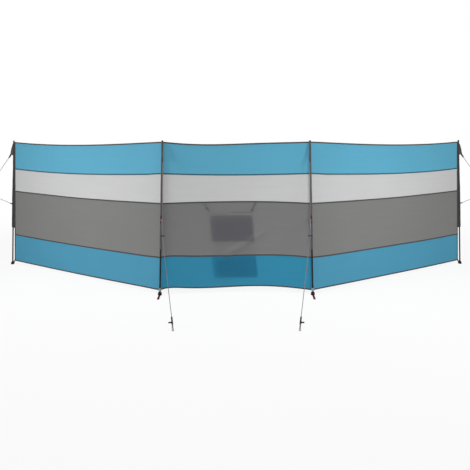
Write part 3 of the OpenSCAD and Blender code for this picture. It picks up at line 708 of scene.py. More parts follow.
class Cutting:
    def __init__(self):
        self.points, self.faces, self.uvs = [], [], []

    def rings(self, rings, closed=False, capped=True, across=None):
        """Joins rings of equal count. across gives each ring point's place over the piece's width."""
        first, count, laps = len(self.points), len(rings[0]), len(rings)
        middles = [sum(ring, Vector()) / count for ring in rings]
        along, around = [0.0], [0.0]
        for a, b in zip(middles, middles[1:] + middles[:1]):
            along.append(along[-1] + (b - a).length)
        half = rings[laps // 2]
        for a, b in zip(half, half[1:] + half[:1]):
            around.append(around[-1] + (b - a).length)
        if across:
            around = list(across) + [across[0]]
        self.points += [tuple(p) for ring in rings for p in ring]
        for k in range(laps if closed else laps - 1):
            for j in range(count):
                a, b = first + k * count, first + (k + 1) % laps * count
                self.faces.append((a + j, a + (j + 1) % count, b + (j + 1) % count, b + j))
                corners = ((k, j), (k, j + 1), (k + 1, j + 1), (k + 1, j))
                self.uvs += [(along[a], around[b]) for a, b in corners]
        if capped and not closed:
            for k in (0, laps - 1):
                self.faces.append(tuple(first + k * count + j for j in range(count)))
                self.uvs += [(along[k], around[j]) for j in range(count)]

    def strap(self, path, across, width, thick, closed=False):
        """A flat band along a path. across is the way over its width, one vector or one for each point."""
        rings, last = [], len(path) - 1
        for k, p in enumerate(path):
            ahead = path[(k + 1) % len(path)] if closed or k < last else p
            behind = path[k - 1] if closed or k > 0 else p
            way = (ahead - behind).normalized()
            side = across[k] if isinstance(across, list) else across
            side = (side - way * side.dot(way)).normalized()
            out = way.cross(side)
            rings.append([p + side * (a * width / 2) + out * (b * thick / 2) for a, b in BAND])
        self.rings(rings, closed, across=[a * width / 2 for a, _ in BAND])

    def lathe(self, base, way, profile, sides=28, floor=None):
        """Turns (radius, height) pairs round an axis."""
        side = way.orthogonal().normalized()
        other = way.cross(side)
        rings = []
        for radius, height in profile:
            ring = [base + way * height + (side * math.cos(t) + other * math.sin(t)) * max(radius, 0.00002)
                    for t in (2 * math.pi * k / sides for k in range(sides))]
            rings.append([Vector((p.x, p.y, max(p.z, floor))) if floor is not None else p for p in ring])
        self.rings(rings)

    def sheet(self, rows, spots):
        """An open grid of points, with their places on the cloth as UV."""
        first, count = len(self.points), len(rows[0])
        self.points += [tuple(p) for row in rows for p in row]
        for k in range(len(rows) - 1):
            for j in range(count - 1):
                corners = ((k, j), (k + 1, j), (k + 1, j + 1), (k, j + 1))
                self.faces.append(tuple(first + a * count + b for a, b in corners))
                self.uvs += [spots[a][b] for a, b in corners]

    def make(self, name, finish, solid=True, sharp=40):
        mesh = bpy.data.meshes.new(name)
        mesh.from_pydata(self.points, [], self.faces)
        layer = mesh.uv_layers.new(name="metres")
        for loop, uv in zip(layer.data, self.uvs):
            loop.uv = uv
        if solid:
            work = bmesh.new()
            work.from_mesh(mesh)
            bmesh.ops.recalc_face_normals(work, faces=work.faces)
            work.to_mesh(mesh)
            work.free()
        mesh.shade_smooth()
        mesh.set_sharp_from_angle(angle=math.radians(sharp))
        mesh.materials.append(finish)
        return add_object(name, mesh)


def hand_over(piece, slot, *nodes):
    """Every piece rides on the one body and may stand for CAD nodes. The slot argument is not used."""
    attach(piece, "root")
    if nodes:
        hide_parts(*nodes)
    print(f"{piece.name}: {len(piece.data.polygons)} faces")
    return piece


# %% [markdown]
# ## Twelve bands of cloth
#
# Each bay is four strips of cloth sewn edge to edge, so each strip is its own sheet here. A sheet is a single
# surface with no thickness, because light has to pass through it once, as through thin cloth. Its edges tuck
# under the tapes by a few millimetres, so no gap shows.

# %% Cloth bands
TUCK, CELL = 0.004, 0.012
# The top and bottom bands take the lighter and darker copies of the blue cloth, painted light and shade.
LAYERS = (("top", lit_upper_blue, "blue_cloth"), ("pale", pale_cloth, "pale_cloth"),
          ("grey", grey_cloth, "grey_cloth"), ("bottom", shaded_lower_blue, "blue_cloth"))

for bay, bay_name in enumerate(BAYS):
    length = bay_length(bay)
    u_0, u_1 = start_u(bay) - TUCK / length, stop_u(bay) + TUCK / length
    across = round(length / CELL)
    for seam, (layer, finish, slot) in enumerate(LAYERS):
        d_0, d_1 = SEAMS[seam] + TAPE_WIDTH / 2 - TUCK, SEAMS[seam + 1] - TAPE_WIDTH / 2 + TUCK
        down = round((d_1 - d_0) / CELL)
        spots = [[(u_0 + (u_1 - u_0) * i / across, d_0 + (d_1 - d_0) * j / down) for i in range(across + 1)]
                 for j in range(down + 1)]
        rows = [[cloth(bay, u, d) for u, d in row] for row in spots]
        strip = Cutting()
        strip.sheet(rows, [[(u * length, d) for u, d in row] for row in spots])
        # The middle bay's grey and lower blue bands take the darker copies, which carry painted shade.
        if bay == 1 and layer in ("grey", "bottom"):
            finish = shaded_middle_grey if layer == "grey" else shaded_middle_blue
        band = strip.make(f"{bay_name}_{layer}_cloth", finish, solid=False)
        hand_over(band, slot, f"{bay_name}_{layer}_band")

# %% [markdown]
# ## Geometry Nodes for tape, cord and stitches
#
# Tape, cord and stitches all follow a path, which is what Geometry Nodes do best. One tree sweeps a flat
# rounded profile for tape, one sweeps a circle for cord, and one drops a small thread grain at even steps for
# stitches. Each takes plain polylines and named sizes, and ends as an ordinary mesh, because only plain meshes
# survive an export. The sweeps also store how far along and around each point is, for the ribs and the braid.

# %% Tree helpers
def path_tree(name, sizes):
    tree = bpy.data.node_groups.new(name, "GeometryNodeTree")
    tree.interface.new_socket("Paths", in_out="INPUT", socket_type="NodeSocketGeometry")
    for label, value in sizes.items():
        tree.interface.new_socket(label, in_out="INPUT", socket_type="NodeSocketFloat").default_value = value
    tree.interface.new_socket("Finish", in_out="INPUT", socket_type="NodeSocketMaterial")
    tree.interface.new_socket("Made", in_out="OUTPUT", socket_type="NodeSocketGeometry")
    takes, gives = tree.nodes.new("NodeGroupInput").outputs, tree.nodes.new("NodeGroupOutput").inputs
    curve = step(tree, "GeometryNodeMeshToCurve", Mesh=takes["Paths"])
    return tree, takes, gives, curve["Curve"]


def step(tree, kind, setup=None, **values):
    """Adds a node, sets its options, links or sets its inputs and returns its outputs."""
    node = tree.nodes.new(kind)
    for option, choice in (setup or {}).items():
        setattr(node, option, choice)
    for label, value in values.items():
        socket = next(s for s in node.inputs if s.name == label.replace("_", " ") and s.enabled)
        if isinstance(value, bpy.types.NodeSocket):
            tree.links.new(value, socket)
        else:
            socket.default_value = value
    return node.outputs


def end_tree(tree, takes, gives, made):
    real = step(tree, "GeometryNodeRealizeInstances", Geometry=made)["Geometry"]
    done = step(tree, "GeometryNodeSetMaterial", Geometry=real, Material=takes["Finish"])["Geometry"]
    tree.links.new(done, gives["Made"])


def keep_value(tree, made, name, kind, value):
    setup = {"data_type": kind, "domain": "POINT"}
    return step(tree, "GeometryNodeStoreNamedAttribute", setup, Geometry=made, Name=name, Value=value)["Geometry"]


def make_from(tree, name, paths, finish, **sizes):
    """Runs a tree on polylines and returns its result as a plain mesh piece."""
    points, edges = [], []
    for path in paths:
        first = len(points)
        points += [tuple(p) for p in path]
        edges += [(k, k + 1) for k in range(first, len(points) - 1)]
    lines = bpy.data.meshes.new(name + "_paths")
    lines.from_pydata(points, edges, [])
    holder = add_object(name + "_paths", lines)
    modifier = holder.modifiers.new("made", "NODES")
    modifier.node_group = tree
    given = {label.replace("_", " "): value for label, value in sizes.items()} | {"Finish": finish}
    for socket in tree.interface.items_tree:
        if socket.in_out == "INPUT" and socket.name in given:
            modifier[socket.identifier] = given[socket.name]
    seen = bpy.context.evaluated_depsgraph_get()
    mesh = bpy.data.meshes.new_from_object(holder.evaluated_get(seen))
    bpy.data.objects.remove(holder)
    mesh.name = name
    if not mesh.materials:
        mesh.materials.append(finish)
    mesh.shade_smooth()
    return add_object(name, mesh)


# %% The three trees
tape_tree, takes, gives, rail = path_tree("Seam tape", {"Width": 0.011, "Thickness": 0.0024})
rail = step(tape_tree, "GeometryNodeSetCurveNormal", {"mode": "Z_UP"}, Curve=rail)["Curve"]
rail = keep_value(tape_tree, rail, "along", "FLOAT", step(tape_tree, "GeometryNodeSplineParameter")["Length"])
flat = step(tape_tree, "GeometryNodeCurvePrimitiveQuadrilateral", Width=takes["Thickness"], Height=takes["Width"])["Curve"]
fillet = calc(tape_tree, "MULTIPLY", takes["Thickness"], 0.42)
flat = step(tape_tree, "GeometryNodeFilletCurve", {"mode": "POLY"}, Curve=flat, Count=3, Radius=fillet)["Curve"]
flat = keep_value(tape_tree, flat, "ring", "FLOAT_VECTOR", step(tape_tree, "GeometryNodeInputPosition")["Position"])
swept = step(tape_tree, "GeometryNodeCurveToMesh", Curve=rail, Profile_Curve=flat, Fill_Caps=True)["Mesh"]
far = step(tape_tree, "GeometryNodeInputNamedAttribute", {"data_type": "FLOAT"}, Name="along")["Attribute"]
rim = step(tape_tree, "GeometryNodeInputNamedAttribute", {"data_type": "FLOAT_VECTOR"}, Name="ring")["Attribute"]
over = step(tape_tree, "ShaderNodeSeparateXYZ", Vector=rim)["Y"]
lay = step(tape_tree, "ShaderNodeCombineXYZ", X=far, Y=over)["Vector"]
end_tree(tape_tree, takes, gives, keep_value(tape_tree, swept, "lay", "FLOAT_VECTOR", lay))

cord_tree, takes, gives, rail = path_tree("Laid cord", {"Diameter": 0.003})
rail = keep_value(cord_tree, rail, "along", "FLOAT", step(cord_tree, "GeometryNodeSplineParameter")["Length"])
half = calc(cord_tree, "MULTIPLY", takes["Diameter"], 0.5)
circle = step(cord_tree, "GeometryNodeCurvePrimitiveCircle", Resolution=10, Radius=half)["Curve"]
circle = keep_value(cord_tree, circle, "ring", "FLOAT_VECTOR", step(cord_tree, "GeometryNodeInputPosition")["Position"])
swept = step(cord_tree, "GeometryNodeCurveToMesh", Curve=rail, Profile_Curve=circle, Fill_Caps=True)["Mesh"]
end_tree(cord_tree, takes, gives, swept)

stitch_tree, takes, gives, rail = path_tree("Running stitch", {"Pitch": 0.0048, "Length": 0.0034, "Thread": 0.0007})
rail = step(stitch_tree, "GeometryNodeResampleCurve", {"mode": "LENGTH"}, Curve=rail, Length=takes["Pitch"])["Curve"]
seed = step(stitch_tree, "GeometryNodeMeshIcoSphere", Radius=0.5, Subdivisions=1)["Mesh"]
size = step(stitch_tree, "ShaderNodeCombineXYZ", X=takes["Length"], Y=takes["Thread"], Z=takes["Thread"])["Vector"]
seed = step(stitch_tree, "GeometryNodeTransform", Geometry=seed, Scale=size)["Geometry"]
way = step(stitch_tree, "GeometryNodeInputTangent")["Tangent"]
turn = step(stitch_tree, "FunctionNodeAlignRotationToVector", {"axis": "X"}, Vector=way)["Rotation"]
sewn = step(stitch_tree, "GeometryNodeInstanceOnPoints", Points=rail, Instance=seed, Rotation=turn)["Instances"]
end_tree(stitch_tree, takes, gives, sewn)
print("trees:", tape_tree.name, cord_tree.name, stitch_tree.name)

# %% [markdown]
# ## Tapes over the seams and hems
#
# A binding tape covers each joint between two strips and folds over the top and bottom hems. It is dark, but
# under the upper blue band it is blue and hardly shows. It follows the cloth exactly, so its path is the cloth's
# own rule at one drop. Two rows of lockstitch hold it, on the front and on the back.

# %% Seam tapes
TAPE_THICK, STITCH_OUT = 0.0024, 0.0001
for bay, bay_name in enumerate(BAYS):
    length = bay_length(bay)
    steps = round(length / 0.008)
    along = [start_u(bay) + (stop_u(bay) - start_u(bay)) * i / steps for i in range(steps + 1)]
    for kind, finish, drops in (("seam", seam_tape, SEAMS[:1] + SEAMS[2:]), ("blue", blue_tape, SEAMS[1:2])):
        paths = [[cloth(bay, u, d) for u in along] for d in drops]
        tapes = make_from(tape_tree, f"{bay_name}_{kind}_tapes", paths, finish, Width=TAPE_WIDTH, Thickness=TAPE_THICK)
        hand_over(tapes, "dark_tape", *([f"{bay_name}_bay_tapes"] if kind == "seam" else []))
    rows = []
    for d in SEAMS:
        outs = [cloth_front(bay, u, d) * (TAPE_THICK / 2 + STITCH_OUT) for u in along]
        for side in (-1, 1):
            for over in (-0.0036, 0.0036):
                rows.append([cloth(bay, u, d + over) + out * side for u, out in zip(along, outs)])
    hand_over(make_from(stitch_tree, f"{bay_name}_tape_stitches", rows, dark_thread), "dark_tape")

# %% [markdown]
# ## Bindings at the outer edges, seams at the corners
#
# The two outer edges of the cloth are bound with a wider tape from top to bottom. At the inner poles the bays
# meet in a seam with two legs, one on each bay. These run upright, where a path's Z-up normal has no direction,
# so they are built as straps with their width along the cloth.

# %% Edge bindings and corner seams
DROPS = [CLOTH_HEIGHT * k / 100 for k in range(101)]


def upright_tape(cutting, bay, from_edge, width, rows, right):
    """A tape down one side of a bay. rows collects its stitch lines, on the front and on the back."""
    length = bay_length(bay)
    far = [from_edge - width / 2, from_edge, from_edge + width / 2]
    places = [1 - d / length if right else d / length for d in far]
    path = [cloth(bay, places[1], d) for d in DROPS]
    over = [cloth(bay, places[2], d) - cloth(bay, places[0], d) for d in DROPS]
    cutting.strap(path, over, width, TAPE_THICK)
    for side in (-1, 1):
        out = BACK[bay] * (side * (TAPE_THICK / 2 + STITCH_OUT))
        for place in (-0.3, 0.3):
            rows.append([p + o.normalized() * (place * width) + out for p, o in zip(path, over)])


CORNER_TAPE, CORNER_IN = 0.0044, 0.0023
edges, corners, rows = Cutting(), Cutting(), []
upright_tape(edges, 0, BINDING / 2, BINDING, rows, right=False)
upright_tape(edges, 2, BINDING / 2, BINDING, rows, right=True)
for bay, right in ((0, True), (1, False), (1, True), (2, False)):
    upright_tape(corners, bay, CORNER_IN, CORNER_TAPE, rows, right)
hand_over(edges.make("edge_bindings_sewn", dark_tape), "dark_tape", "edge_bindings")
hand_over(corners.make("corner_seams_sewn", dark_tape), "dark_tape", "corner_seams")
hand_over(make_from(stitch_tree, "upright_stitches", rows, dark_thread), "dark_tape")

# %% [markdown]
# ## Pole sleeves
#
# A sleeve is a strip of dark cloth folded round the pole and sewn flat to the edge of the bay. So its outline is
# a loop with a tail, drawn once and repeated up the pole. Slack cloth round a pole never lies smooth: low,
# slanting folds wander round it, both ends are turned in and stitched, and the end sleeves stand off low down.

# %% Sleeves
SLEEVE_LENGTH, SLEEVE_R, POLE_R = 0.873, 0.0083, 0.0065


def tail_way(i):
    return LEANS[i] if is_end(i) else Vector((0, 1, 0))


def tail_reach(i, s):
    return edge_out(s) + 0.003 if is_end(i) else CORNER_GAP - 0.001


def sleeve_ring(i, s, radius, thick, fold, bag=0.0):
    """One outline of a sleeve: round the pole, then out along the tail and back."""
    way, up, tail = tail_way(i), pole_way(i), tail_reach(i, s)
    side = up.cross(way).normalized()
    half, ring = [], []
    for k in range(15):
        t = math.radians(50 + 260 * k / 14)
        folds = fold * (math.sin(3 * t + 31 * s + i) + 0.7 * math.sin(2 * t - 67 * s + 2 * i))
        r = radius + folds + bag * (0.5 - 0.5 * math.cos(t))
        ring.append((r * math.cos(t), r * math.sin(t)))
    start = ring[0]
    for k in range(1, 6):
        t = k / 5
        bend = ((1 - t) ** 2, 2 * t * (1 - t), t * t)
        corner_x = min(1.25 * radius, 0.9 * tail)
        half.append((bend[0] * start[0] + bend[1] * corner_x + bend[2] * tail,
                     bend[0] * start[1] + (bend[1] + bend[2]) * thick / 2))
    ring += [(x, -y) for x, y in half] + half[::-1]
    return [on_pole(i, s) + way * x + side * y for x, y in ring]


rows = []
for i, pole in enumerate(POLES):
    low, high = HEM_TOP - SLEEVE_LENGTH, sewn_at(i, 1)
    rings = [sleeve_ring(i, low + 0.012, POLE_R + 0.0004, 0.0006, 0), sleeve_ring(i, low, POLE_R + 0.0006, 0.001, 0)]
    for k in range(141):
        t = k / 140
        s = low + (high - low) * t
        hem = 0.0004 * (ease((0.016 - (s - low)) / 0.004) + ease((0.014 - (high - s)) / 0.004))
        slim = SLEEVE_R - (0.0007 * t if is_end(i) else 0)
        bag = 0.0045 * ease((0.74 - t) / 0.4) * ease((s - low) / 0.012) if is_end(i) else 0
        rings.append(sleeve_ring(i, s, slim + hem, 0.0022, 0.0003 * ease(min(s - low, high - s) / 0.05), bag))
    rings.append(sleeve_ring(i, high, POLE_R + 0.0006, 0.001, 0))
    rings.append(sleeve_ring(i, high - 0.008, POLE_R + 0.0004, 0.0006, 0))
    sleeve = Cutting()
    sleeve.rings(rings)
    # The end sleeves take the darker copy of the sleeve cloth, which is painted shade.
    finish = shaded_end_sleeve_cloth if is_end(i) else sleeve_cloth
    hand_over(sleeve.make(f"{pole}_sleeve_cloth", finish, sharp=60), "dark_tape", f"{pole}_sleeve")
    way, side = tail_way(i), pole_way(i).cross(tail_way(i)).normalized()
    for face in (-1, 1):
        row = []
        for k in range(61):
            s = low + 0.004 + (high - low - 0.008) * k / 60
            far = 0.55 * edge_out(s) + 0.0045 if is_end(i) else 0.0105
            row.append(on_pole(i, s) + way * far + side * (face * 0.0021))
        rows.append(row)
hand_over(make_from(stitch_tree, "sleeve_stitches", rows, dark_thread), "dark_tape")

# %% [markdown]
# ## Poles, tip caps and feet
#
# The poles are thin steel tubes painted black. Each has a moulded cap on its tip and a tapered foot. All three are
# turned shapes, so a profile spun round the pole gives them, with small radii at the rims, because a moulded
# edge is never knife-sharp and the radius is what catches the light. The feet are cut level with the ground.

# %% Turned parts
CAP_PROFILE = ((0.0067, 0.0028), (0.0067, 0.0003), (0.0072, 0), (0.0078, 0.0003), (0.008, 0.0008),
               (0.008, 0.0023), (0.0076, 0.0026), (0.0076, 0.003), (0.008, 0.0033), (0.008, 0.0055),
               (0.0077, 0.0069), (0.0066, 0.0081), (0.0046, 0.0088), (0, 0.009))
FOOT_PROFILE = ((0, 0), (0.0122, 0), (0.0134, 0.0004), (0.014, 0.0016), (0.0139, 0.0034), (0.0132, 0.0042),
                (0.0128, 0.0062), (0.0122, 0.0105), (0.0115, 0.0155), (0.0109, 0.0205), (0.0106, 0.0228),
                (0.011, 0.0234), (0.0111, 0.025), (0.0105, 0.0258), (0.0092, 0.0262), (0.0068, 0.0262), (0.0068, 0.022))
caps, feet = Cutting(), Cutting()
for i, pole in enumerate(POLES):
    up = pole_way(i)
    tube = Cutting()
    heights = [0.006 + (POLE_LENGTH - 0.008) * k / 24 for k in range(25)]
    tip = POLE_LENGTH - 0.0015
    profile = [(0.0054, 0.0062)] + [(POLE_R, h) for h in heights] + [(POLE_R - 0.0008, tip), (0, tip)]
    tube.lathe(FEET[i], up, profile, sides=24)
    hand_over(tube.make(f"{pole}_tube", steel_tube), "steel_tube", f"{pole}_pole")
    caps.lathe(on_pole(i, HEM_TOP + 0.001), up, CAP_PROFILE)
    feet.lathe(FEET[i], up, FOOT_PROFILE, floor=0.0)
hand_over(caps.make("tip_caps", black_plastic), "black_plastic", "pole_caps")
hand_over(feet.make("pole_feet", black_plastic), "black_plastic", *[f"{pole}_foot" for pole in POLES])

# %% [markdown]
# ## Webbing at the feet
#
# A black webbing collar grips each foot, with a strap up to the corner of the cloth that keeps it pulled down,
# and at the inner poles a grey tape is wound round above it. A red webbing ring sits low on the foot, and from it
# a red loop for a peg lies on the ground: one strip, folded over and sewn near the foot, with an eye left open at
# the fold. Webbing bends easily one way and hardly the other, so each path bends only over its flat side.

# %% Collars, corner straps and peg loops
FOOT_R, PEG_LOOP, WEBBING = 0.014, 0.092, 0.016
STRIP_THICK, STRIP_LOW, STRIP_HIGH, EYE_LIFT = 0.0021, 0.0017, 0.0041, 0.0032


def wind_round(cutting, i, s, radius, width, thick):
    """A ring of webbing round a pole, at a height on it."""
    up = pole_way(i)
    side = up.orthogonal().normalized()
    other = up.cross(side)
    turn = [2 * math.pi * k / 40 for k in range(40)]
    path = [on_pole(i, s) + (side * math.cos(t) + other * math.sin(t)) * radius for t in turn]
    cutting.strap(path, up, width, thick, closed=True)


straps, wraps, loops, black_rows, red_rows = Cutting(), Cutting(), Cutting(), [], []
for i in range(4):
    end = is_end(i)
    wind_round(straps, i, 0.0145, 0.0138, 0.0135, 0.0026)
    behind = -BACK[0 if i == 0 else 2] if end else BACK[1]
    lift = 0.00275 + (0 if end else 0.00075 + 0.005 * math.tan(WING_ANGLE))
    low = on_pole(i, 0.009 if end else 0.014) + (LEANS[i] * 0.0150 + behind * lift if end else behind * 0.0155)
    high = sewn_edge(i, sewn_at(i, 0) + TAPE_WIDTH) + behind * lift + (LEANS[i] * 0.006 if end else Vector())
    way = (high - low).normalized()
    over = way.cross(behind).normalized()
    bow = behind * 0.0012 + (over * (-0.006 if over.z > 0 else 0.006) if end else Vector())

    def strap_at(t):
        return low + (high + way * 0.004 - low) * t + bow * math.sin(math.pi * t)

    straps.strap([strap_at(k / 12) for k in range(13)], over, 0.012 if end else 0.010, 0.0020)
    if not end:
        wind_round(wraps, i, 0.0435, 0.0100, 0.026, 0.0018)
    for x in (-0.0035, 0.0035):
        black_rows.append([strap_at(t) + over * x + behind * 0.0012 for t in (0.78, 0.84, 0.90, 0.96)])

    heading = math.radians(90 + (26 if i == 0 else -26) if end else -90)
    out = Vector((math.cos(heading), math.sin(heading), 0))
    cross = UP.cross(out)
    under = [(PEG_LOOP * k / 30, STRIP_LOW) for k in range(30)]
    half = (STRIP_HIGH + EYE_LIFT - STRIP_LOW) / 2
    bend = [(PEG_LOOP + half * math.sin(t), STRIP_LOW + half - half * math.cos(t))
            for t in (math.pi * k / 10 for k in range(1, 10))]
    over_it = [(x, STRIP_HIGH + EYE_LIFT * ease((x - 0.045) / 0.03)) for x, _ in under[::-1]]
    lean = 0.045 * (1 if i % 2 else -1)

    def lying(x, y, z):
        return FEET[i] + out * (FOOT_R + 0.0025 + x) + cross * (y + lean * x * x / PEG_LOOP) + UP * z

    loops.strap([lying(x, 0, z) for x, z in under + bend + over_it], cross, WEBBING, STRIP_THICK)
    wind_round(loops, i, 0.0052, 0.0150, 0.0085, 0.0020)
    for y in (-0.0055, 0.0055):
        red_rows.append([lying(x, y, 0.0053) for x in (0.004, 0.012, 0.020, 0.028)])
hand_over(straps.make("foot_collars", black_webbing), "black_webbing", "foot_straps")
hand_over(wraps.make("corner_wraps", grey_webbing), "dark_tape")
# The ground loops and foot rings take the darker copy of the red webbing: painted shade.
hand_over(loops.make("ground_loops", shaded_ground_webbing), "red_webbing", "peg_loops")

# %% [markdown]
# ## Guy patches and their loops
#
# High on each pole a three-cornered patch of sleeve cloth takes the pull of the guy line. It stands in the
# plane of the line, two layers thick, a little fuller between its stitched edges than along them. A red webbing
# loop is sewn to its tip, and another sits on the sleeve halfway up, painted darker and greyer as shade. The
# end patches also have a red edging.

# %% Patches and webbing loops
CORD, CORD_LOOK, PATCH_DROP, LOOP = 0.003, 0.0046, 0.147, 0.024
MID_LOOP, SLEEVE_FACE, LOOP_THICK = 0.615, 0.0085, 0.0019
GUY_TURN = math.radians(16)
GUYS = (Vector((-COS, SIN, 0)), Vector((math.sin(GUY_TURN), -math.cos(GUY_TURN), 0)),
        Vector((-math.sin(GUY_TURN), -math.cos(GUY_TURN), 0)), Vector((COS, SIN, 0)))


def knot(i):
    return FEET[i] + GUYS[i] * (0.475 if is_end(i) else 0.164) + UP * (0.701 if is_end(i) else 0.511)


def patch_reach(i):
    return 0.059 if is_end(i) else 0.040


def loop_reach(i):
    return 0.012 if is_end(i) else LOOP


def patch_tip(i):
    return on_pole(i, HEM_TOP - PATCH_DROP) + GUYS[i] * patch_reach(i)


def blend_points(points, t):
    """A smooth curve through points, for t from 0 to 1."""
    place = t * (len(points) - 1)
    k = min(int(place), len(points) - 2)
    t = place - k
    a, b, c, d = (points[min(max(k + j, 0), len(points) - 1)] for j in (-1, 0, 1, 2))
    return tuple(0.5 * (2 * q + (r - p) * t + (2 * p - 5 * q + 4 * r - s) * t * t + (3 * q - p - 3 * r + s) * t**3)
                 for p, q, r, s in zip(a, b, c, d))


def smooth(points, count):
    return [Vector(blend_points([tuple(p) for p in points], k / count)) for k in range(count + 1)]


patches, patch_loops, mid_loops = Cutting(), Cutting(), Cutting()
for i in range(4):
    low, flat, free = HEM_TOP - PATCH_DROP, GUYS[i].cross(UP), patch_reach(i) - 0.0088
    outer = [(SLEEVE_FACE, sewn_at(i, 1) - 0.004), (0.0088 + 0.6 * free, low + 0.075), (0.0088 + 0.82 * free, low + 0.032),
             (patch_reach(i) + 0.001, low + 0.010), (patch_reach(i) + 0.0005, low)]
    rings = []
    for k in range(25):
        t = k / 24
        edge, height = blend_points(outer, t)
        inner_height = outer[0][1] - (outer[0][1] - low - 0.004) * t
        row = []
        for j in range(11):
            w = j / 10
            arched = 0.009 * arch(w) * t**6
            full = 0.0006 + 0.0008 * math.sin(math.pi * w) * math.sin(math.pi * min(t * 1.05, 1))
            place = on_pole(i, inner_height + (height - inner_height) * w + arched)
            place += GUYS[i] * (0.007 + (edge - 0.007) * w)
            row.append((place + flat * (0.0012 * math.sin(5 * w + 3 * t)), full))
        rings.append([p + flat * f for p, f in row] + [p - flat * f for p, f in row[::-1]])
    patches.rings(rings)
    for face in (-1, 1):
        black_rows.append([on_pole(i, height + 0.001) + GUYS[i] * (edge - 0.0035) + flat * (face * 0.0013)
                           for edge, height in (blend_points(outer, 0.12 + 0.8 * k / 20) for k in range(21))])
        if not is_end(i):
            continue
        edging = [on_pole(i, height) + GUYS[i] * (edge - 0.004) + flat * (face * 0.0019)
                  for edge, height in (blend_points(outer, 0.1 + 0.87 * k / 24) for k in range(25))]
        patch_loops.strap(edging, GUYS[i], 0.008, 0.0012)
hand_over(patches.make("guy_patch_cloth", sleeve_cloth, sharp=60), "dark_tape", "guy_patches")


def webbing_loop(cutting, root, way, across, flat, length, gap):
    """A strip doubled over: two legs from the root, closed at the far end."""
    path = []
    for k in range(41):
        t = math.pi * (k / 40) - math.pi / 2
        swell = gap * (0.35 + 0.65 * ease(math.cos(t) / 0.9))
        path.append(root + way * (length * math.cos(t)) + flat * (math.sin(t) * swell))
    cutting.strap(path, across, WEBBING, LOOP_THICK)


STRIP = ((-0.0006, 0.032), (0.0004, 0.029), (0.0006, 0.018), (0.0010, 0.0085), (0.0045, 0.0050), (0.0130, 0.0038),
         (0.0205, 0.0034), (0.0236, 0.0022), (0.0243, 0))
for i in range(4):
    flat = GUYS[i].cross(UP)
    way = (knot(i) - patch_tip(i)).normalized()
    webbing_loop(patch_loops, patch_tip(i) - way * 0.014, way, way.cross(flat), flat, loop_reach(i) + 0.014, 0.0034)
    strip = STRIP + tuple((x, -z) for x, z in STRIP[-2::-1])
    bent = [on_pole(i, MID_LOOP + z) + GUYS[i] * (SLEEVE_FACE + x) for x, z in strip]
    mid_loops.strap(smooth(bent, 48), flat, WEBBING, LOOP_THICK)
    for face in (-1, 1):
        for over in (-0.0055, 0.0055):
            aside = way.cross(flat) * over + flat * (face * 0.0043)
            red_rows.append([patch_tip(i) - way * back + aside for back in (0.013, 0.002)])
hand_over(patch_loops.make("patch_webbing", red_webbing), "red_webbing", "patch_loops")
# The loops halfway up take the darker copy of the red webbing: painted shade.
hand_over(mid_loops.make("sleeve_webbing", shaded_red_webbing), "red_webbing", "mid_loops")
hand_over(make_from(stitch_tree, "red_stitches", red_rows, red_thread, Pitch=0.0030, Length=0.0024), "red_webbing")

# %% [markdown]
# ## Guy lines
#
# Each guy line is a Y of braided cord, pulled taut: one cord from the patch and one from the loop halfway up
# meet at a small plastic piece, and one cord goes on to the ground. Taut cord is straight, so all the care goes
# into its ends. Each end passes through its webbing loop, comes back and is bound with a few turns. At the
# ground the cord threads a runner with three holes and makes the loop that a peg holds.

# %% Cord paths
FRONT_REACH, END_REACH, RUNNER, END_LOOP = 0.745, 1.330, 0.058, 0.042
BOUND_OFF, JUNCTION_IN = 0.0105, 0.003


def ground_end(i):
    return FEET[i] + GUYS[i] * (END_REACH if is_end(i) else FRONT_REACH) + UP * CORD


def main_way(i):
    return (ground_end(i) - knot(i)).normalized()


def side_way(i):
    return main_way(i).cross(UP).normalized() * (1 if i < 2 else -1)


def runner_at(i):
    return ground_end(i) - main_way(i) * (END_LOOP + RUNNER / 2)


def straight(a, b, step=0.02):
    count = max(2, round((b - a).length / step))
    return [a + (b - a) * (k / count) for k in range(count + 1)]


def binding_turns(middle, way, turns=3, radius=0.0033, pitch=0.0040):
    """A few tight turns of cord round a cord."""
    side = way.orthogonal().normalized()
    other, count = way.cross(side), round(turns * 12)
    return [middle + way * (pitch * turns * (k / count - 0.5)) + (side * math.cos(t) + other * math.sin(t)) * radius
            for k, t in ((k, 2 * math.pi * turns * k / count) for k in range(count + 1))]


def eye(bound, through, over):
    """Cord from a binding, through a webbing loop and back to the binding."""
    way = through - bound
    leg = ((0, 0.0012), (0.25, 0.004), (0.6, 0.0088), (0.86, 0.0098), (1.0, 0.007))
    return [bound + way * a + over * b for a, b in leg + ((1.05, 0.0),) + tuple((a, -b) for a, b in leg[::-1])]


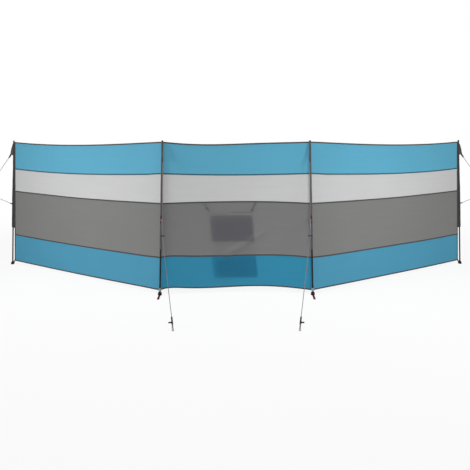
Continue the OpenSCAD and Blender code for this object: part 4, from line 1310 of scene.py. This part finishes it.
def runner_route(i):
    """Through the runner's holes, round the peg loop and back to its arm, in the runner's own axes."""
    x, y = main_way(i), side_way(i)
    z = x.cross(y) * (1 if i < 2 else -1)
    spots = ((-0.060, 0, 0), (-0.040, 0, -0.0018), (-0.030, 0, -0.0042), (-0.0245, 0, -0.0034), (-0.0200, 0, 0.0022),
             (-0.014, 0, 0.0048), (0, 0, 0.0050), (0.014, 0, 0.0048), (0.0200, 0, 0.0022), (0.0245, 0, -0.0030),
             (0.032, -0.0006, -0.0036), (0.046, -0.0010, -0.0016), (0.056, -0.0014, -0.0004), (0.063, -0.0030, 0),
             (0.0685, -0.0026, 0), (0.0712, 0.0014, 0), (0.0685, 0.0054, 0), (0.063, 0.0058, 0.0004),
             (0.056, 0.0040, 0.0010), (0.044, 0.0036, 0.0030), (0.033, 0.0024, 0.0050), (0.022, 0.0014, 0.0056),
             (0.0140, 0.0030, 0.0056), (0.0102, 0.0085, 0.0054), (0.0098, 0.0150, 0.0052), (0.0106, 0.0195, 0.0038),
             (0.0116, 0.0211, 0), (0.0112, 0.0212, -0.0036), (0.0095, 0.0212, -0.0050))
    return smooth([runner_at(i) + x * a + y * b + z * c for a, b, c in spots], 150)


for i, name in enumerate(("left_end", "left_front", "right_front", "right_end")):
    centre, flat = knot(i), GUYS[i].cross(UP)
    paths = []
    top_way = (centre - patch_tip(i)).normalized()
    top_bound = patch_tip(i) + top_way * (loop_reach(i) + BOUND_OFF)
    top_eye = patch_tip(i) + top_way * (loop_reach(i) - 0.0042)
    mid_bound = on_pole(i, MID_LOOP) + GUYS[i] * (SLEEVE_FACE + LOOP + BOUND_OFF)
    mid_eye = on_pole(i, MID_LOOP) + GUYS[i] * (SLEEVE_FACE + LOOP - 0.0036)
    mid_way = (centre - mid_bound).normalized()
    branches = ((top_bound, top_eye, top_way.cross(flat), top_way), (mid_bound, mid_eye, flat, mid_way))
    for bound, through, over, way in branches:
        paths.append(smooth(eye(bound, through, over), 60))
        paths.append(binding_turns(bound + way * 0.003, way))
        paths.append(straight(bound - way * 0.002, centre - way * JUNCTION_IN))
    down = main_way(i)
    paths.append(straight(centre + down * JUNCTION_IN, runner_at(i) - down * 0.058))
    paths.append(runner_route(i))
    paths.append(binding_turns(centre + down * BOUND_OFF, down, turns=2.5))
    knot_axis = down.cross(side_way(i)) * (1 if i < 2 else -1)
    end_knot = runner_at(i) + down * 0.0095 + side_way(i) * 0.0212 - knot_axis * 0.0058
    paths.append(binding_turns(end_knot, down, turns=1.2, radius=0.0012, pitch=0.0027))
    hand_over(make_from(cord_tree, f"{name}_cord", paths, guy_cord, Diameter=CORD_LOOK), "guy_cord", f"{name}_guy")

# %% [markdown]
# ## Runners and junction pieces
#
# Runners are moulded plates with three holes and rounded rims. A flat curve with holes, filled, extruded and
# bevelled, gives the whole plate at once, and then it is turned into a mesh and set on its cord. Cutting the
# holes from a solid would leave messy rims.

# %% Moulded plates
def rounded(corners, radius, steps=5):
    """An outline with its corners rounded."""
    path = []
    for k, corner in enumerate(corners):
        p, a, b = Vector(corner), Vector(corners[k - 1]), Vector(corners[(k + 1) % len(corners)])
        cut = min(radius, (a - p).length * 0.45, (b - p).length * 0.45)
        start, stop = p + (a - p).normalized() * cut, p + (b - p).normalized() * cut
        for j in range(steps + 1):
            t = j / steps
            path.append(start * (1 - t) ** 2 + p * (2 * t * (1 - t)) + stop * t * t)
    return path


def plate(outline, holes, thick, rim):
    """A filled, bevelled flat curve as points and faces."""
    curve = bpy.data.curves.new("plate", "CURVE")
    curve.dimensions, curve.fill_mode = "2D", "BOTH"
    curve.extrude, curve.bevel_depth, curve.bevel_resolution = thick / 2 - rim, rim, 2
    turn = [2 * math.pi * k / 20 for k in range(20)]
    rings = [outline] + [[Vector((x + r * math.cos(t), y + r * math.sin(t))) for t in turn] for x, y, r in holes]
    for ring in rings:
        spline = curve.splines.new("POLY")
        spline.points.add(len(ring) - 1)
        spline.use_cyclic_u = True
        for point, spot in zip(spline.points, ring):
            point.co = (spot.x, spot.y, 0, 1)
    holder = add_object("plate", curve)
    mesh = bpy.data.meshes.new_from_object(holder.evaluated_get(bpy.context.evaluated_depsgraph_get()))
    bpy.data.objects.remove(holder)
    made = [v.co.copy() for v in mesh.vertices], [tuple(p.vertices) for p in mesh.polygons]
    bpy.data.meshes.remove(mesh)
    return made


def set_plates(name, shape, places, node):
    """Copies a plate to each place, given as an origin and three axes."""
    points, faces = shape
    mesh, spots, sides = bpy.data.meshes.new(name), [], []
    for origin, x, y, z in places:
        first = len(spots)
        spots += [tuple(origin + x * p.x + y * p.y + z * p.z) for p in points]
        sides += [tuple(first + k for k in face) for face in faces]
    mesh.from_pydata(spots, [], sides)
    work = bmesh.new()
    work.from_mesh(mesh)
    bmesh.ops.remove_doubles(work, verts=work.verts, dist=0.00001)
    bmesh.ops.recalc_face_normals(work, faces=work.faces)
    work.to_mesh(mesh)
    work.free()
    mesh.shade_smooth()
    mesh.set_sharp_from_angle(angle=math.radians(50))
    mesh.materials.append(black_plastic)
    return hand_over(add_object(name, mesh), "black_plastic", node)


runner_edge = rounded([(-0.029, -0.003), (-0.026, -0.0045), (0.026, -0.0045), (0.029, -0.003), (0.029, 0.003),
                       (0.026, 0.0045), (0.0206, 0.0045), (0.0160, 0.0075), (0.0146, 0.013), (0.0146, 0.0255),
                       (0.0086, 0.0255), (0.0086, 0.013), (0.0072, 0.0075), (0.0026, 0.0045), (-0.026, 0.0045),
                       (-0.029, 0.003)], 0.003)
runner_shape = plate(runner_edge, [(-0.022, 0, 0.0024), (0.022, 0, 0.0024), (0.0116, 0.021, 0.0022)], 0.005, 0.0008)
on_cords = [(main_way(i), side_way(i)) for i in range(4)]
places = [(runner_at(i), x, y, x.cross(y)) for i, (x, y) in enumerate(on_cords)]
set_plates("guy_runner_plates", runner_shape, places, "guy_runners")

half_edge = [(-0.018, -0.0024), (-0.008, -0.0026), (-0.0056, -0.0062), (0.0056, -0.0062), (0.008, -0.0026), (0.018, -0.0024)]
junction_edge = rounded(half_edge + [(-x, -y) for x, y in half_edge], 0.0025)
junction_shape = plate(junction_edge, [], 0.005, 0.0009)
places = [(knot(i), x, y, x.cross(y)) for i, (y, x) in enumerate(on_cords)]
set_plates("guy_junction_plates", junction_shape, places, "guy_junctions")

# %% [markdown]
# ## The organiser behind the middle bay
#
# A light back sheet hangs by two straps from the tape above, with a stitched hem and two pockets that open
# upwards. It hangs slightly askew, so one function shears every point. Each pocket is a soft shell that is sewn
# on three sides and stands off in the middle, fullest below its mouth, as cloth does that has held things.

# %% Organiser cloth
def organiser_point(across, z, depth=0.0):
    """A point of the organiser: across from -1 to 1, z below its top, depth behind its back sheet."""
    height = ORGANISER_TOP.z + z
    return Vector((organiser_x(height) + across * ORGANISER_W / 2, ORGANISER_TOP.y + 0.001 + depth, height))


def organiser_hang(across, t):
    """Slack of the back sheet: the top edge dips between the straps, the lower edge swings a little."""
    dip = -0.004 * (1 - across * across) * (1 - t) ** 3
    return dip, 0.0012 * math.sin(3.1 * across + 5 * t) * math.sin(math.pi * min(t * 1.2, 1))


sheet, rows, spots = Cutting(), [], []
for k in range(46):
    t = k / 45
    row, spot = [], []
    for j in range(31):
        across = -1 + 2 * j / 30
        dip, swing = organiser_hang(across, t)
        row.append(organiser_point(across, -ORGANISER_H * t + dip, swing))
        spot.append((across * ORGANISER_W / 2, -ORGANISER_H * t))
    rows.append(row)
    spots.append(spot)
sheet.sheet(rows, spots)
organiser_back = sheet.make("organiser_sheet", organiser_cloth, solid=False)
hand_over(organiser_back, "organiser_cloth", "organiser_back")


def hem_strip(cutting, z_top, z_low, depth, thick):
    """A folded strip across the organiser."""
    rings = []
    for k in range(31):
        across = -1 + 2 * k / 30
        dip, swing = organiser_hang(across, -z_top / ORGANISER_H)
        middle, half = (z_top + z_low) / 2 + dip, (z_top - z_low) / 2
        rings.append([organiser_point(across, middle + a * half, depth + swing + b * thick / 2) for a, b in BAND])
    cutting.rings(rings, across=[a * (z_top - z_low) / 2 for a, _ in BAND])


hem, trims, pocket_rows = Cutting(), Cutting(), []
hem_strip(hem, 0.0, -ORGANISER_HEM, 0.0018, 0.0022)
hem_strip(trims, 0.0, -0.007, 0.0033, 0.0014)
hem_strip(trims, -ORGANISER_HEM + 0.004, -ORGANISER_HEM - 0.003, 0.0033, 0.0014)
hand_over(hem.make("organiser_hem", organiser_cloth), "dark_tape", "organiser_top_hem")

# %% Pockets
def pocket_depth(across, t, deep):
    """How far a pocket stands off: t runs from its bottom to its mouth."""
    sides = 1 - abs(across) ** 5
    full = math.sqrt(max(1 - (1 - min(t / 0.35, 1)) ** 2, 0))
    mouth = 1 - 0.35 * ease((t - 0.65) / 0.35)
    sag_fold = 1 + 0.05 * math.sin(9 * across + 4 * t) * sides
    return deep * sides * full * mouth * sag_fold


def pocket(name, low, height, deep, node):
    shell, count = Cutting(), 36
    grid = [[(-0.985 + 1.97 * j / count, k / 24) for j in range(count + 1)] for k in range(25)]
    outer, inner = [], []
    for row in grid:
        for line, thick in ((outer, 0.0), (inner, 0.0011)):
            made = []
            for across, t in row:
                corner = 0.028 * max(0, 1 - t / 0.18) ** 2 * max(0, (abs(across) - 0.75) / 0.235) ** 2
                dip = -0.006 * (1 - across * across) * t**4
                z = low + height * t + corner + dip
                stand = max(pocket_depth(across, t, deep) - thick, 0.0004)
                made.append(organiser_point(across, z, 0.0012 + stand))
            line.append(made)
    shell.rings([a + b[::-1] for a, b in zip(outer, inner)])
    hand_over(shell.make(name, pocket_cloth, sharp=70), "pocket_cloth", node)
    lip = [organiser_point(a, low + height - 0.006 * (1 - a * a), 0.0012 + pocket_depth(a, 1, deep))
           for a in (-0.985 + 1.97 * k / 40 for k in range(41))]
    trims.strap([p + Vector((0, -0.0004, -0.004)) for p in lip], UP, 0.010, 0.0030)
    for over in (-0.0035, 0.0035):
        pocket_rows.append([p + Vector((0, 0.0013, -0.004 + over)) for p in lip])
    for across in (-0.965, 0.965):
        edge = [organiser_point(across, low + height * (0.03 + 0.97 * k / 30), 0.0) for k in range(31)]
        trims.strap([p + Vector((0, 0.0022, 0)) for p in edge], Vector((1, 0, 0)), 0.010, 0.0022)
        for over in (-0.003, 0.003):
            pocket_rows.append([p + Vector((over, 0.0035, 0)) for p in edge])
    base = [organiser_point(-0.97 + 1.94 * k / 40, low + 0.004, 0.0022) for k in range(41)]
    trims.strap(base, UP, 0.010, 0.0022)
    for over in (-0.003, 0.003):
        pocket_rows.append([p + Vector((0, 0.0013, over)) for p in base])


pocket("upper_pocket_shell", -ORGANISER_HEM - UPPER_POCKET_H, UPPER_POCKET_H, POCKET_DEPTH, "upper_pocket")
pocket("lower_pocket_shell", -ORGANISER_H, LOWER_POCKET_H, POCKET_DEPTH, "lower_pocket")
for z in (-0.0035, -ORGANISER_HEM + 0.0005):
    for over in (-0.0022, 0.0022):
        pocket_rows.append([organiser_point(a, z + over + organiser_hang(a, 0)[0], 0.0041)
                            for a in (-0.98 + 1.96 * k / 30 for k in range(31))])
hand_over(trims.make("organiser_trim", dark_tape), "dark_tape")

# %% Hanging straps
hangers = Cutting()
for hand in (-1, 1):
    tie_x = organiser_x(ORGANISER_TOP.z) + hand * (ORGANISER_W / 2 + 0.036)
    high = cloth(1, tie_x / MIDDLE_BAY, SEAMS[2]) + Vector((0, 0.0028, 0.002))
    low = organiser_point(hand * 0.93, -0.020, 0.0040)
    path = [low + (high - low) * (k / 20) + Vector((0, 0.004 * math.sin(math.pi * k / 20), 0)) for k in range(21)]
    hangers.strap(path, Vector((1, 0, 0.3 * hand)), 0.014, 0.0018)
    for x in (-0.0045, 0.0045):
        pocket_rows.append([low + Vector((x, 0.0012, -0.001)), low + Vector((x, 0.0012, 0.012))])
        pocket_rows.append([high + Vector((x, 0.0012, -0.006)), high + Vector((x, 0.0012, 0.001))])
hand_over(hangers.make("organiser_hangers", black_webbing), "black_webbing", "organiser_straps")
rows = pocket_rows + black_rows
stitches = make_from(stitch_tree, "organiser_stitches", rows, dark_thread, Pitch=0.0042, Length=0.0030)
hand_over(stitches, "dark_tape")
